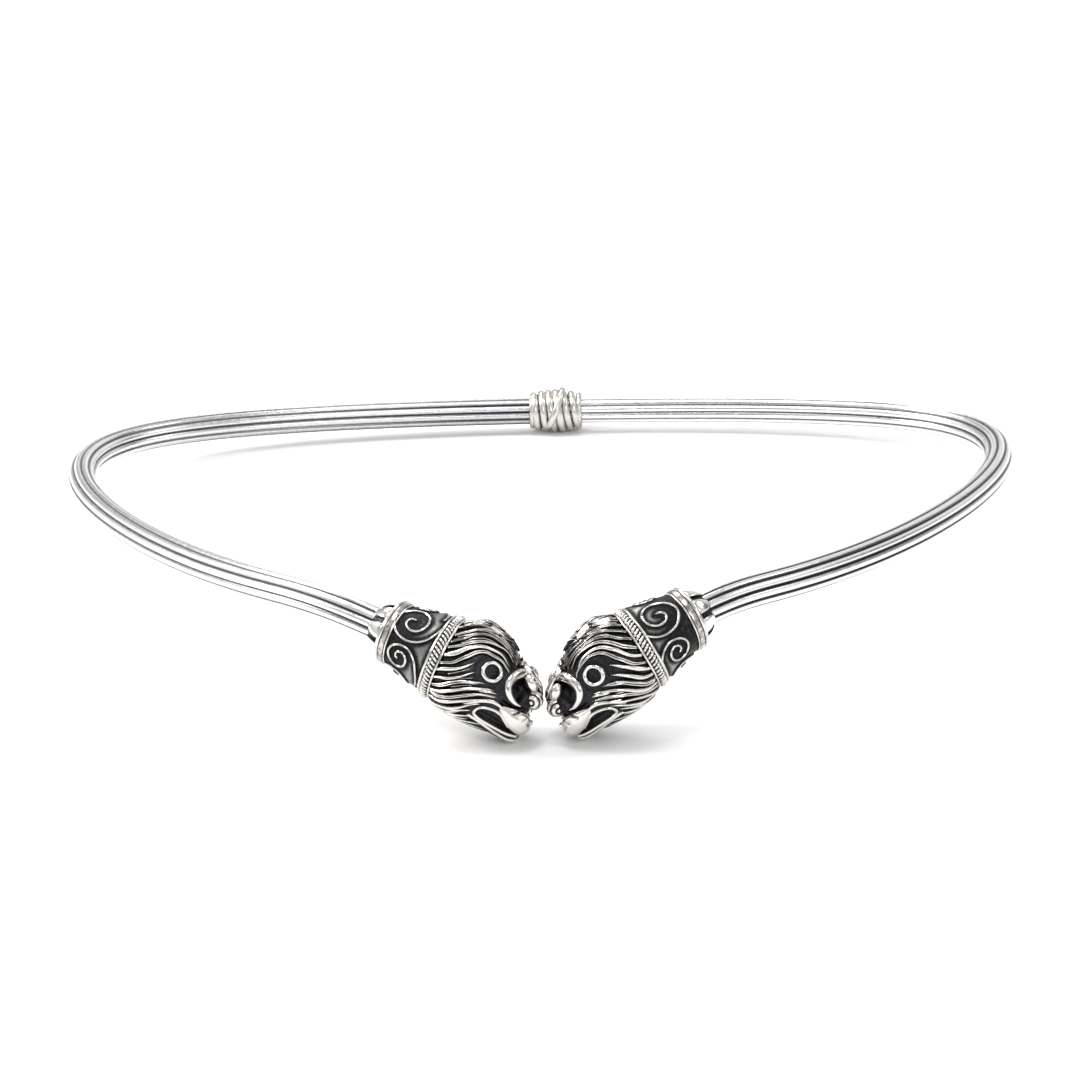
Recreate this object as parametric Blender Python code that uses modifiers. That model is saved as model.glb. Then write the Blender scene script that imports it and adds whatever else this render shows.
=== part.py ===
"""Open torque necklace in silver: two fluted arms bound at the back, each ending in a
petal cup, a collar with scroll wires and a lion head. It lies on its back binding and
on the chins of the two heads. Metres, +Z up, +Y to the back of the ring.

Each terminal is modelled straight, with +X running from the nose along its middle
line, +Y outwards and +Z up, and is then bent along the ring.
"""
import bpy
import bmesh
import math
from mathutils import Matrix, Vector

# Ring: the middle line of the tube
HALF_RIGHT = 0.0646          # half width on the right
HALF_LEFT = 0.0684           # half width on the left
HALF_DEPTH = 0.0576          # half depth, front to back
BACK_FLATNESS = 0.239        # moves the widest place to the back
SHOULDER = -0.026            # third harmonic of the oval
RING_TILT = 0.109            # rise of the ring for each metre to the front
DROOP_END = 0.010            # last stretch, where the terminal runs straight down
DROOP_RUN_RIGHT = 0.0320     # how far from the nose the right arm starts to droop
DROOP_RUN_LEFT = 0.0405
TWIST_RIGHT = -5.0           # degrees that each terminal is turned about its own line
TWIST_LEFT = 4.0
NOSE_GAP = 0.0002            # between the two noses

# Fluted tube
TUBE_RADIUS = 0.00205
FLUTE_COUNT = 10
FLUTE_DEPTH = 0.0003
TUBE_INSERT = 0.0020         # how far the tube runs into its cup
TUBE_STATIONS = 32
POST_RADIUS = 0.0010
POST_LENGTH = 0.0110
SOCKET_EXTRA = 0.0010        # socket is this much deeper than half the post

# Clearances
FIT_GAP = 0.00012            # between pieces that meet
BORE_GAP = 0.00012           # round the tube, the post and in the binding

# Back binding
BINDING_WIRE = 0.00115       # wire diameter
BINDING_TURNS = 7
CROSSING_WIRE = 0.00090      # the turn that lies over the others
BINDING_SIDES = 18

# Petal cup
CUP_LENGTH = 0.0033
CUP_MOUTH = 0.00245          # outer radius at the tube
CUP_FOOT = 0.00385           # outer radius at the collar
PETAL_COUNT = 8
PETAL_SLOT = 0.00045
PETAL_SLOT_DEPTH = 0.00075
PETAL_FOOT_RING = 0.0006

# Scroll collar with its rope band
COLLAR_LENGTH = 0.0082
BAND_RADIUS = 0.00545        # outside of the rope band
BAND_WIDTH = 0.0016
RIM_RADIUS = 0.0042
RIM_WIDTH = 0.0015
DRUM_FRONT = 0.0050          # drum radius behind the rope band
DRUM_REAR = 0.0039           # drum radius at the rim
COLLAR_SIDES = 28
SCROLL_WIRE = 0.00030
SCROLL_PAIRS = 3
BIG_SCROLL = 0.0023
SMALL_SCROLL = 0.00148

# Lion head
HEAD_LENGTH = 0.0125
HEAD_RADIUS = 0.0061
EYE_RING = 0.00112           # middle radius of the ring
EYE_WIRE = 0.00025
EYE_HOLE_DEPTH = 0.0008
CHEEK_WIRE = 0.00034
CHEEK_HOLLOW = 0.00135
NOSE_BALL = 0.00072
MOUTH_GAP = 0.00042
MOUTH_HOLLOW = 0.00095
MOUTH_WIRE = 0.00022
LIP_RADIUS = 0.00150
MANE_WIRE = 0.00034
HEAD_VOXEL = 0.00010         # grid of the skin that joins the raised work
HEAD_FACES = 2800

NAME = "lion_torque"


def clear_scene():
    for item in list(bpy.data.objects):
        bpy.data.objects.remove(item, do_unlink=True)
    for group in list(bpy.data.collections):
        bpy.data.collections.remove(group)


clear_scene()
PARTS = bpy.data.collections.new(NAME)
CUTTERS = bpy.data.collections.new(NAME + "_cutters")
bpy.context.scene.collection.children.link(PARTS)
bpy.context.scene.collection.children.link(CUTTERS)


# Lion head. Sections as shares: along the head from the nose, half width, top and
# bottom as shares of the head's radius
HEAD_TABLE = (
    (0.085, 0.40, 0.10, -0.84), (0.12, 0.50, 0.20, -1.05), (0.20, 0.60, 0.34, -1.085),
    (0.29, 0.69, 0.49, -1.07), (0.40, 0.80, 0.66, -1.045), (0.53, 0.91, 0.80, -1.01),
    (0.68, 0.99, 0.90, -1.00), (0.82, 0.99, 0.96, -0.97), (0.93, 0.93, 0.93, -0.93),
    (1.00, 0.865, 0.865, -0.865))
HEAD_SIDES = 20


# Middle line of the ring

def smooth_run(t):
    """Integral of the smoothstep ramp, straight past 1."""
    c = min(max(t, 0.0), 1.0)
    return c ** 3 - 0.5 * c ** 4 + max(t - 1.0, 0.0)


class Arm:
    """The middle line of one arm, read by its distance from the nose."""

    def __init__(self, side):
        self.side = side
        half = HALF_RIGHT if side > 0 else HALF_LEFT
        self.run = DROOP_RUN_RIGHT if side > 0 else DROOP_RUN_LEFT
        self.twist = math.radians(TWIST_RIGHT if side > 0 else TWIST_LEFT)
        count = 400
        plan = []
        for i in range(count + 1):
            ph = math.pi * (i / count - 0.5)
            x = half * math.cos(ph) + NOSE_GAP / 2 * (1 - i / count)
            y = math.sin(ph) + BACK_FLATNESS * (math.cos(2 * ph) + 1)
            y = HALF_DEPTH * (y + SHOULDER * math.sin(3 * ph))
            plan.append((side * x, y))
        self.plan = plan
        self.flat = [0.0]
        for p, q in zip(plan, plan[1:]):
            self.flat.append(self.flat[-1] + math.dist(p, q))
        self.drop = 0.0
        self.solve()

    def solve(self):
        """Find the droop that brings the chin down to the ground."""
        low, high = 0.0, 1.0
        for _ in range(40):
            self.drop = (low + high) / 2
            self.build()
            if self.lowest() > 0.0:
                low = self.drop
            else:
                high = self.drop

    def lowest(self):
        """Height of the lowest point of the head's skin."""
        lows = []
        for row in HEAD_TABLE[:5]:
            a = NOSE_GAP / 2 + row[0] * HEAD_LENGTH
            for i in range(HEAD_SIDES // 2, HEAD_SIDES):
                lows.append(self.place(*head_point(a, 2 * math.pi * i / HEAD_SIDES)).z)
        return min(lows)

    def build(self):
        back_z = BACK_RADIUS
        back_y = self.plan[-1][1]
        ramp = self.run - DROOP_END
        self.points = []
        for (x, y), a in zip(self.plan, self.flat):
            z = back_z + RING_TILT * (back_y - y)
            z -= self.drop * ramp * smooth_run((self.run - a) / ramp)
            self.points.append(Vector((x, y, z)))
        self.dist = [0.0]
        for p, q in zip(self.points, self.points[1:]):
            self.dist.append(self.dist[-1] + (q - p).length)
        self.length = self.dist[-1]

    def centre(self, a):
        if a <= 0.0:
            step = (self.points[1] - self.points[0]).normalized()
            return self.points[0] + step * a
        low, high = 0, len(self.dist) - 1
        while high - low > 1:
            mid = (low + high) // 2
            if self.dist[mid] <= a:
                low = mid
            else:
                high = mid
        span = self.dist[high] - self.dist[low]
        return self.points[low].lerp(self.points[high], (a - self.dist[low]) / span)

    def place(self, a, out, up):
        """World place of a point of the straight terminal."""
        step = 0.0004
        along = (self.centre(a + step) - self.centre(a - step)).normalized()
        outward = along.cross(Vector((0, 0, 1))).normalized() * self.side
        upward = outward.cross(along) * self.side
        c, s = math.cos(self.twist), math.sin(self.twist)
        return (self.centre(a) + outward * (out * c - up * s)
                + upward * (out * s + up * c))


BACK_RADIUS = TUBE_RADIUS + BORE_GAP + BINDING_WIRE
HEAD_END = NOSE_GAP / 2 + HEAD_LENGTH
COLLAR_START = HEAD_END + FIT_GAP
COLLAR_END = COLLAR_START + COLLAR_LENGTH
CUP_START = COLLAR_END + FIT_GAP
CUP_END = CUP_START + CUP_LENGTH
TUBE_START = CUP_END - TUBE_INSERT


# Small tools

def material(name, colour, rough, metallic=1.0):
    mat = bpy.data.materials.new(name)
    mat.use_nodes = True
    node = mat.node_tree.nodes["Principled BSDF"]
    node.inputs["Base Color"].default_value = (*colour, 1.0)
    node.inputs["Roughness"].default_value = rough
    node.inputs["Metallic"].default_value = metallic
    mat.diffuse_color = (*colour, 1.0)
    return mat


def put(name, mesh, group=None):
    item = bpy.data.objects.new(name, mesh)
    (group or CUTTERS).objects.link(item)
    if group is None:
        item.hide_render = True
        item.display_type = "WIRE"
    return item


def baked(item, weld=1e-7):
    """Swap an object for the plain mesh that its modifiers or curve make."""
    bpy.context.view_layer.update()
    graph = bpy.context.evaluated_depsgraph_get()
    mesh = bpy.data.meshes.new_from_object(item.evaluated_get(graph), depsgraph=graph)
    shape = bmesh.new()
    shape.from_mesh(mesh)
    bmesh.ops.remove_doubles(shape, verts=shape.verts, dist=weld)
    bmesh.ops.recalc_face_normals(shape, faces=shape.faces)
    shape.to_mesh(mesh)
    shape.free()
    new = put(item.name + "_mesh", mesh)
    new.matrix_world = item.matrix_world
    bpy.data.objects.remove(item, do_unlink=True)
    return new


def wire(name, points, radius, sides=0, closed=False, taper=None):
    """Round wire through points, as a mesh."""
    data = bpy.data.curves.new(name, "CURVE")
    data.dimensions = "3D"
    data.bevel_depth = radius
    data.bevel_resolution = sides
    data.use_fill_caps = True
    line = data.splines.new("POLY")
    line.points.add(len(points) - 1)
    for i, place in enumerate(points):
        line.points[i].co = (*place, 1.0)
        line.points[i].radius = taper[i] if taper else 1.0
    line.use_cyclic_u = closed
    return baked(put(name, data))


def turned(name, profile, sides):
    """Solid turned round the X axis from (along, radius) pairs that end on the axis."""
    mesh = bpy.data.meshes.new(name)
    verts = [(a, 0.0, r) for a, r in profile]
    edges = [(i, i + 1) for i in range(len(verts) - 1)]
    mesh.from_pydata(verts, edges, [])
    item = put(name, mesh)
    screw = item.modifiers.new("turn", "SCREW")
    screw.axis = "X"
    screw.steps = sides
    screw.render_steps = sides
    screw.use_merge_vertices = True
    screw.merge_threshold = 1e-6
    return baked(item, 1e-6)


def boolean(target, tool, operation="UNION", crossing=False):
    step = target.modifiers.new("cut", "BOOLEAN")
    step.operation = operation
    step.solver = "EXACT"
    step.use_self = crossing
    step.object = tool
    bpy.context.view_layer.update()
    graph = bpy.context.evaluated_depsgraph_get()
    mesh = bpy.data.meshes.new_from_object(target.evaluated_get(graph), depsgraph=graph)
    target.modifiers.clear()
    old = target.data
    target.data = mesh
    bpy.data.meshes.remove(old)
    bpy.data.objects.remove(tool, do_unlink=True)
    return target


def fused(items, voxel, faces):
    """One closed skin round overlapping pieces, thinned to about so many faces."""
    shape = bmesh.new()
    for item in items:
        mesh = item.data.copy()
        mesh.transform(item.matrix_world)
        shape.from_mesh(mesh)
        bpy.data.meshes.remove(mesh)
        bpy.data.objects.remove(item, do_unlink=True)
    mesh = bpy.data.meshes.new("fused")
    # worked at a thousand times the size, where the grid is exact enough
    shape.transform(Matrix.Scale(1000.0, 4))
    shape.to_mesh(mesh)
    shape.free()
    item = put("fused", mesh)
    skin = item.modifiers.new("skin", "REMESH")
    skin.mode = "VOXEL"
    skin.voxel_size = voxel * 1000.0
    item = baked(item, 1e-6)
    thin = item.modifiers.new("thin", "DECIMATE")
    thin.ratio = min(faces / (2 * len(item.data.polygons)), 1.0)
    item = baked(item, 1e-6)
    item.data.transform(Matrix.Scale(0.001, 4))
    return item


def finish(item, name, mat, arm=None):
    """Bend a straight piece along its arm, tidy it and file it as a part."""
    shape = bmesh.new()
    shape.from_mesh(item.data)
    shape.transform(item.matrix_world)
    if arm is not None:
        for vert in shape.verts:
            vert.co = arm.place(*vert.co)
    bmesh.ops.remove_doubles(shape, verts=shape.verts, dist=2e-6)
    bmesh.ops.dissolve_degenerate(shape, edges=shape.edges, dist=2e-6)
    bmesh.ops.triangulate(shape, faces=shape.faces)
    bmesh.ops.recalc_face_normals(shape, faces=shape.faces)
    mesh = bpy.data.meshes.new(name)
    shape.to_mesh(mesh)
    shape.free()
    mesh.materials.append(mat)
    mesh.shade_smooth()
    mesh.set_sharp_from_angle(angle=math.radians(40))
    bpy.data.objects.remove(item, do_unlink=True)
    part = put(name, mesh, PARTS)
    part.parent = ROOT
    return part


def ball(name, place, radius, scale=(1, 1, 1), segments=12, rings=8):
    shape = bmesh.new()
    bmesh.ops.create_uvsphere(shape, u_segments=segments, v_segments=rings, radius=radius)
    for vert in shape.verts:
        vert.co = Vector(place) + Vector([c * s for c, s in zip(vert.co, scale)])
    mesh = bpy.data.meshes.new(name)
    shape.to_mesh(mesh)
    shape.free()
    return put(name, mesh)


def rod(name, start, end, radius, segments=12, end_radius=None):
    shape = bmesh.new()
    span = Vector(end) - Vector(start)
    bmesh.ops.create_cone(
        shape, cap_ends=True, segments=segments, radius1=radius,
        radius2=radius if end_radius is None else end_radius, depth=span.length)
    turn = span.to_track_quat("Z", "Y").to_matrix()
    for vert in shape.verts:
        vert.co = turn @ vert.co + (Vector(start) + Vector(end)) / 2
    mesh = bpy.data.meshes.new(name)
    shape.to_mesh(mesh)
    shape.free()
    return put(name, mesh)


def read_table(rows, value):
    """Smooth reading of a table whose first column rises."""
    if value <= rows[0][0]:
        return rows[0][1:]
    for low, high in zip(rows, rows[1:]):
        if value <= high[0]:
            t = (value - low[0]) / (high[0] - low[0])
            return [p + (q - p) * t for p, q in zip(low[1:], high[1:])]
    return rows[-1][1:]


# Arms: fluted tube, socket for the post at the back, plain end in the cup

def make_arm(arm, mat):
    tag = "right" if arm.side > 0 else "left"
    profile = bpy.data.curves.new("flute_profile", "CURVE")
    profile.dimensions = "2D"
    line = profile.splines.new("POLY")
    count = FLUTE_COUNT * 2
    line.points.add(count - 1)
    for i in range(count):
        turn = 2 * math.pi * i / count
        r = TUBE_RADIUS - (FLUTE_DEPTH if i % 2 == 0 else 0.0)
        line.points[i].co = (r * math.cos(turn), r * math.sin(turn), 0.0, 1.0)
    line.use_cyclic_u = True
    guide = put("flute_profile", profile)
    data = bpy.data.curves.new("tube", "CURVE")
    data.dimensions = "3D"
    data.twist_mode = "Z_UP"
    data.bevel_mode = "OBJECT"
    data.bevel_object = guide
    data.use_fill_caps = True
    path = data.splines.new("POLY")
    stations = tube_stations(arm)
    path.points.add(len(stations) - 1)
    for i, a in enumerate(stations):
        path.points[i].co = (*arm.centre(a), 1.0)
    tube = baked(put("tube", data))
    bpy.data.objects.remove(guide, do_unlink=True)
    depth = POST_LENGTH / 2 + SOCKET_EXTRA
    reach = [arm.length - depth, arm.length - depth / 2, arm.length - 0.0002]
    points = [arm.centre(a) for a in reach]
    points.append(points[-1] + (points[-1] - points[-2]).normalized() * 0.001)
    socket = wire("socket", points, POST_RADIUS + BORE_GAP, 2)
    boolean(tube, socket, "DIFFERENCE")
    return finish(tube, "arm_" + tag, mat)


def tube_stations(arm):
    """Distances from the nose of the tube's sections, close together in the cup."""
    start = CUP_END + TUBE_INSERT
    end = arm.length - FIT_GAP / 2
    far = [start + (end - start) * i / TUBE_STATIONS for i in range(TUBE_STATIONS + 1)]
    return [TUBE_START, (TUBE_START + CUP_END) / 2, CUP_END] + far


def make_post(arms, mat):
    right, left = arms
    half = POST_LENGTH / 2
    points = [right.centre(right.length - half), right.centre(right.length - half / 2)]
    points.append(right.centre(right.length))
    points.append(left.centre(left.length - half / 2))
    points.append(left.centre(left.length - half))
    return finish(wire("post", points, POST_RADIUS, 2), "back_post", mat)


# Binding: close turns of round wire with one turn laid across them

def make_binding(mat):
    inner = TUBE_RADIUS + BORE_GAP
    outer = BACK_RADIUS
    half = BINDING_TURNS * BINDING_WIRE / 2
    profile = [(half - BINDING_WIRE * 0.3, inner)]
    for i in range(BINDING_TURNS):
        centre = half - BINDING_WIRE * (i + 0.5)
        mid = inner + BINDING_WIRE / 2
        for step in (55, 125):
            angle = math.radians(step)
            profile.append((centre + BINDING_WIRE / 2 * math.cos(angle) * 0.92,
                            mid + BINDING_WIRE / 2 * math.sin(angle)))
        if i < BINDING_TURNS - 1:
            profile.append((centre - BINDING_WIRE / 2, mid + BINDING_WIRE * 0.12))
    profile.append((-half + BINDING_WIRE * 0.3, inner))
    sleeve = turned_ring("binding", profile, BINDING_SIDES)
    points = []
    for i in range(BINDING_SIDES):
        turn = 2 * math.pi * (i + 0.31) / BINDING_SIDES
        rest = outer + CROSSING_WIRE * 0.1
        if math.sin(turn) < 0:
            rest = outer - CROSSING_WIRE / 2
        points.append((half * 0.62 * math.cos(turn + 0.9), rest * math.cos(turn),
                       rest * math.sin(turn)))
    crossing = wire("crossing", points, CROSSING_WIRE / 2, 1, closed=True)
    boolean(sleeve, crossing)
    place = RIGHT.centre(RIGHT.length)
    sleeve.location = (0.0, place.y, place.z)
    bpy.context.view_layer.update()
    return finish(sleeve, "back_binding", mat)


def turned_ring(name, profile, sides):
    """Ring turned round the X axis from a closed profile."""
    mesh = bpy.data.meshes.new(name)
    verts = [(a, 0.0, r) for a, r in profile]
    edges = [(i, (i + 1) % len(verts)) for i in range(len(verts))]
    mesh.from_pydata(verts, edges, [])
    item = put(name, mesh)
    screw = item.modifiers.new("turn", "SCREW")
    screw.axis = "X"
    screw.steps = sides
    screw.render_steps = sides
    screw.use_merge_vertices = True
    screw.merge_threshold = 1e-6
    return baked(item, 1e-6)


# Petal cup: flared shell with slots between its petals

def make_cup(arm, mat):
    tag = "right" if arm.side > 0 else "left"
    start, end = CUP_START, CUP_END
    bore = TUBE_RADIUS + BORE_GAP
    floor = TUBE_START - FIT_GAP
    mid = start + CUP_LENGTH * 0.5
    profile = [
        (end, bore), (end, CUP_MOUTH - 0.0001), (end - 0.0002, CUP_MOUTH),
        (mid, (CUP_MOUTH + CUP_FOOT) / 2 + CUP_LENGTH * 0.07),
        (start + PETAL_FOOT_RING, CUP_FOOT - 0.0001), (start, CUP_FOOT),
        (start, 0.0), (floor, 0.0), (floor, bore)]
    mesh = bpy.data.meshes.new("cup")
    verts = [(a, 0.0, r) for a, r in profile]
    edges = [(i, (i + 1) % len(verts)) for i in range(len(verts)) if i != 6]
    mesh.from_pydata(verts, edges, [])
    item = put("cup", mesh)
    screw = item.modifiers.new("turn", "SCREW")
    screw.axis = "X"
    screw.steps = PETAL_COUNT * 3
    screw.render_steps = PETAL_COUNT * 3
    screw.use_merge_vertices = True
    screw.merge_threshold = 1e-6
    cup = baked(item, 1e-6)
    for i in range(PETAL_COUNT):
        turn = 2 * math.pi * (i + 0.37) / PETAL_COUNT
        boolean(cup, slot_box(start, end, turn), "DIFFERENCE")
    return finish(cup, "petal_cup_" + tag, mat, arm)


def slot_box(start, end, turn):
    shape = bmesh.new()
    bmesh.ops.create_cube(shape, size=1.0)
    low = CUP_MOUTH - PETAL_SLOT_DEPTH * 0.35
    foot = CUP_FOOT - PETAL_SLOT_DEPTH
    for vert in shape.verts:
        front = vert.co.x < 0
        a = start + PETAL_FOOT_RING * 1.5 if front else end + 0.0005
        bottom = foot if front else low
        r = bottom if vert.co.z < 0 else CUP_FOOT + 0.001
        w = PETAL_SLOT * vert.co.y
        vert.co = (a, r * math.cos(turn) - w * math.sin(turn),
                   r * math.sin(turn) + w * math.cos(turn))
    mesh = bpy.data.meshes.new("slot")
    shape.to_mesh(mesh)
    shape.free()
    return put("slot", mesh)


# Collar: drum, rim, rope band between plain wires, and scroll wires on the drum

def drum_radius(a):
    t = (a - COLLAR_START - BAND_WIDTH) / (COLLAR_LENGTH - BAND_WIDTH - RIM_WIDTH)
    t = min(max(t, 0.0), 1.0)
    return DRUM_FRONT + (DRUM_REAR - DRUM_FRONT) * t ** 1.25


def on_drum(a, turn, lift=0.0):
    r = drum_radius(a) + lift
    return (a, r * math.cos(turn), r * math.sin(turn))


# Radius of each scroll as a share of its size, by turn from the front in degrees
BIG_TABLE = ((-630, 0.18), (-540, 0.34), (-450, 0.45), (-360, 0.72), (-270, 0.90),
             (-180, 0.95), (-90, 1.05), (-20, 1.28), (35, 1.62))
SMALL_TABLE = ((-590, 0.22), (-500, 0.40), (-360, 0.68), (-270, 0.98), (-180, 1.02),
               (-90, 1.00), (-30, 1.22), (15, 1.70), (42, 2.60))


def scroll_path(centre_a, centre_turn, size, table, flip, step):
    """Points of a scroll that lies on the drum."""
    points = []
    angle = table[-1][0]
    front = COLLAR_START + BAND_WIDTH
    while angle >= table[0][0]:
        r = size * read_table(table, angle)[0]
        a = centre_a - r * math.cos(math.radians(angle))
        rise = r * math.sin(math.radians(angle)) * flip
        a = max(a, front - 0.0001)
        points.append(on_drum(a, centre_turn + rise / drum_radius(centre_a), SCROLL_WIRE * 0.12))
        angle -= step
    return points


def make_collar(arm, mat):
    tag = "right" if arm.side > 0 else "left"
    s, e = COLLAR_START, COLLAR_END
    b, r = BAND_WIDTH, BAND_RADIUS
    low = r - 0.00025
    t, w = RIM_RADIUS, RIM_WIDTH
    profile = [
        (e, 0.0), (e, t - 0.0003), (e - w * 0.12, t), (e - w * 0.5, t),
        (e - w * 0.62, t - 0.0002), (e - w * 0.72, t - 0.00005), (e - w * 0.9, t - 0.00005),
        (e - w, DRUM_REAR)]
    for share in (0.72, 0.42):
        a = s + b + share * (COLLAR_LENGTH - b - w)
        profile.append((a, drum_radius(a)))
    profile += [
        (s + b, DRUM_FRONT), (s + b * 0.93, low + 0.00015), (s + b * 0.78, low + 0.00015),
        (s + b * 0.72, low), (s + b * 0.62, r), (s + b * 0.38, r), (s + b * 0.28, low),
        (s + b * 0.22, low + 0.00015), (s + b * 0.07, low + 0.00015), (s, low - 0.0001),
        (s, 0.0)]
    collar = turned("collar", profile, COLLAR_SIDES)
    for i in range(SCROLL_PAIRS):
        base = 2 * math.pi * i / SCROLL_PAIRS
        big = scroll_path(s + 0.0042, base + math.radians(60), BIG_SCROLL, BIG_TABLE, 1, 46)
        small = scroll_path(
            s + 0.0041, base + math.radians(-2), SMALL_SCROLL, SMALL_TABLE, -1, 45)
        boolean(collar, wire("scroll", big, SCROLL_WIRE / 2))
        boolean(collar, wire("scroll", small, SCROLL_WIRE / 2))
    return finish(collar, "scroll_collar_" + tag, mat, arm)


# Lion head

def head_section(a):
    w, top, low = read_table(HEAD_TABLE, (a - NOSE_GAP / 2) / HEAD_LENGTH)
    return w * HEAD_RADIUS, (top + low) / 2 * HEAD_RADIUS, (top - low) / 2 * HEAD_RADIUS


def head_point(a, turn, lift=0.0):
    """Point of the head's skin; turn is measured up from the outer side."""
    w, mid, tall = head_section(a)
    return (a, (w + lift) * math.cos(turn), mid + (tall + lift) * math.sin(turn))


def on_cheek(along, up, side, lift=0.0):
    """Point of the side of the head, from shares of the head's length and radius."""
    a = NOSE_GAP / 2 + along * HEAD_LENGTH
    w, mid, tall = head_section(a)
    z = up * HEAD_RADIUS
    turn = math.asin(min(max((z - mid) / tall, -1.0), 1.0))
    return Vector((a, side * (w * math.cos(turn) + lift), z))


def head_core():
    """Closed skin lofted through the head's sections."""
    shape = bmesh.new()
    loops = []
    for row in HEAD_TABLE:
        a = NOSE_GAP / 2 + row[0] * HEAD_LENGTH
        ring = [head_point(a, 2 * math.pi * i / HEAD_SIDES) for i in range(HEAD_SIDES)]
        loops.append([shape.verts.new(p) for p in ring])
    for one, two in zip(loops, loops[1:]):
        for i in range(HEAD_SIDES):
            j = (i + 1) % HEAD_SIDES
            shape.faces.new((one[i], one[j], two[j], two[i]))
    shape.faces.new(loops[0][::-1])
    shape.faces.new(loops[-1])
    bmesh.ops.recalc_face_normals(shape, faces=shape.faces)
    mesh = bpy.data.meshes.new("head")
    shape.to_mesh(mesh)
    shape.free()
    return put("head", mesh)


# Mane locks: turn at the band, turn at the end, share of the head where the lock ends,
# and the sideways sweep of its wave, all in degrees but the share
MANE_TABLE = (
    (82, 74, 0.44, 5), (66, 62, 0.42, 10), (50, 52, 0.45, 13), (34, 36, 0.66, 6),
    (18, 16, 0.65, 2), (3, 2, 0.58, -3), (-12, -14, 0.52, -4), (-27, -24, 0.56, -4),
    (-42, -44, 0.66, -3))
# Ring of the cheek and loop of the mouth: along and up, as shares of the head's length
# and radius
CHEEK_TABLE = (
    (0.20, 0.44), (0.27, 0.55), (0.345, 0.52), (0.39, 0.34), (0.395, 0.12), (0.35, -0.07),
    (0.27, -0.19), (0.19, -0.18))
MOUTH_TABLE = (
    (0.56, -0.58), (0.53, -0.46), (0.46, -0.42), (0.38, -0.46), (0.30, -0.58),
    (0.22, -0.80), (0.29, -0.79), (0.39, -0.72), (0.49, -0.68))


def head_ball(name, along, out, up, radius, scale=(1, 1, 1), segments=10, rings=6):
    place = (NOSE_GAP / 2 + along * HEAD_LENGTH, out * HEAD_RADIUS, up * HEAD_RADIUS)
    return ball(name, place, radius, scale, segments, rings)


def make_head(arm, mat):
    tag = "right" if arm.side > 0 else "left"
    head = head_core()
    # the gap of the mouth under the nose
    slit = NOSE_GAP / 2 + 0.065 * HEAD_LENGTH
    slit_z = -0.30 * HEAD_RADIUS
    boolean(head, rod("slit", (slit, -HEAD_RADIUS, slit_z), (slit, HEAD_RADIUS, slit_z),
                      MOUTH_GAP, 8), "DIFFERENCE")
    for side in (1, -1):
        cut_face_side(head, side)
    raised = [head, head_ball("nose", 0.115, 0.0, 0.12, NOSE_BALL * 1.52, (1.0, 1.2, 0.75))]
    for side in (1, -1):
        raised += face_side(side)
    head = fused(raised, HEAD_VOXEL, HEAD_FACES)
    return finish(head, "lion_head_" + tag, mat, arm)


def eye_frame(side):
    eye = on_cheek(0.55, 0.44, side)
    look = Vector((-0.22, side * 0.88, 0.38)).normalized()
    across = look.cross(Vector((1, 0, 0))).normalized()
    return eye, look, across, look.cross(across)


def cut_face_side(head, side):
    """Pockets of the eye, the cheek and the corner of the mouth."""
    eye, look = eye_frame(side)[:2]
    boolean(head, rod("eye_hole", eye - look * EYE_HOLE_DEPTH, eye + look * 0.002,
                      EYE_RING - EYE_WIRE * 0.5, 16), "DIFFERENCE")
    boolean(head, head_ball("cheek_hollow", 0.25, side * 0.68, 0.18, CHEEK_HOLLOW,
                            (0.85, 0.85, 1.1)), "DIFFERENCE")
    boolean(head, head_ball("mouth_hollow", 0.41, side * 0.78, -0.60, MOUTH_HOLLOW,
                            (1.9, 0.9, 0.75)), "DIFFERENCE")


def face_side(side):
    """Raised work of one side: mane, eye ring, cheek ring, mouth loop, lip and beads."""
    pieces = []
    for first, last, share, wave in MANE_TABLE:
        points = []
        taper = []
        steps = 8
        for i in range(steps + 1):
            t = i / steps
            a = NOSE_GAP / 2 + HEAD_LENGTH * (0.975 + (share - 0.975) * t)
            turn = first + (last - first) * t + wave * math.sin(math.pi * t)
            x, y, z = head_point(a, math.radians(turn), MANE_WIRE * 0.3)
            points.append((x, y * side, z))
            taper.append(0.75 + 0.45 * math.sin(math.pi * min(t + 0.2, 0.95)))
        pieces.append(wire("lock", points, MANE_WIRE, 2, taper=taper))
    eye, look, across, level = eye_frame(side)
    ring = []
    for i in range(20):
        turn = 2 * math.pi * i / 20
        ring.append(eye + (across * math.cos(turn) + level * math.sin(turn)) * EYE_RING)
    pieces.append(wire("eye_ring", ring, EYE_WIRE, 2, closed=True))
    arc = [on_cheek(along, up, side, 0.0002) for along, up in CHEEK_TABLE]
    pieces.append(wire("cheek_ring", arc, CHEEK_WIRE, 2))
    loop = [on_cheek(along, up, side, 0.00005) for along, up in MOUTH_TABLE]
    pieces.append(wire("mouth_loop", loop, MOUTH_WIRE, 2, closed=True))
    pieces.append(head_ball("lip", 0.185, side * 0.33, -0.62, LIP_RADIUS, (1.05, 0.9, 1.0)))
    pieces.append(head_ball("nostril", 0.092, side * 0.30, -0.13, NOSE_BALL))
    pieces.append(head_ball("bridge", 0.165, side * 0.22, 0.27, NOSE_BALL * 1.05))
    pieces.append(head_ball("brow", 0.39, side * 0.36, 0.66, NOSE_BALL * 1.1))
    return pieces


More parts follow.
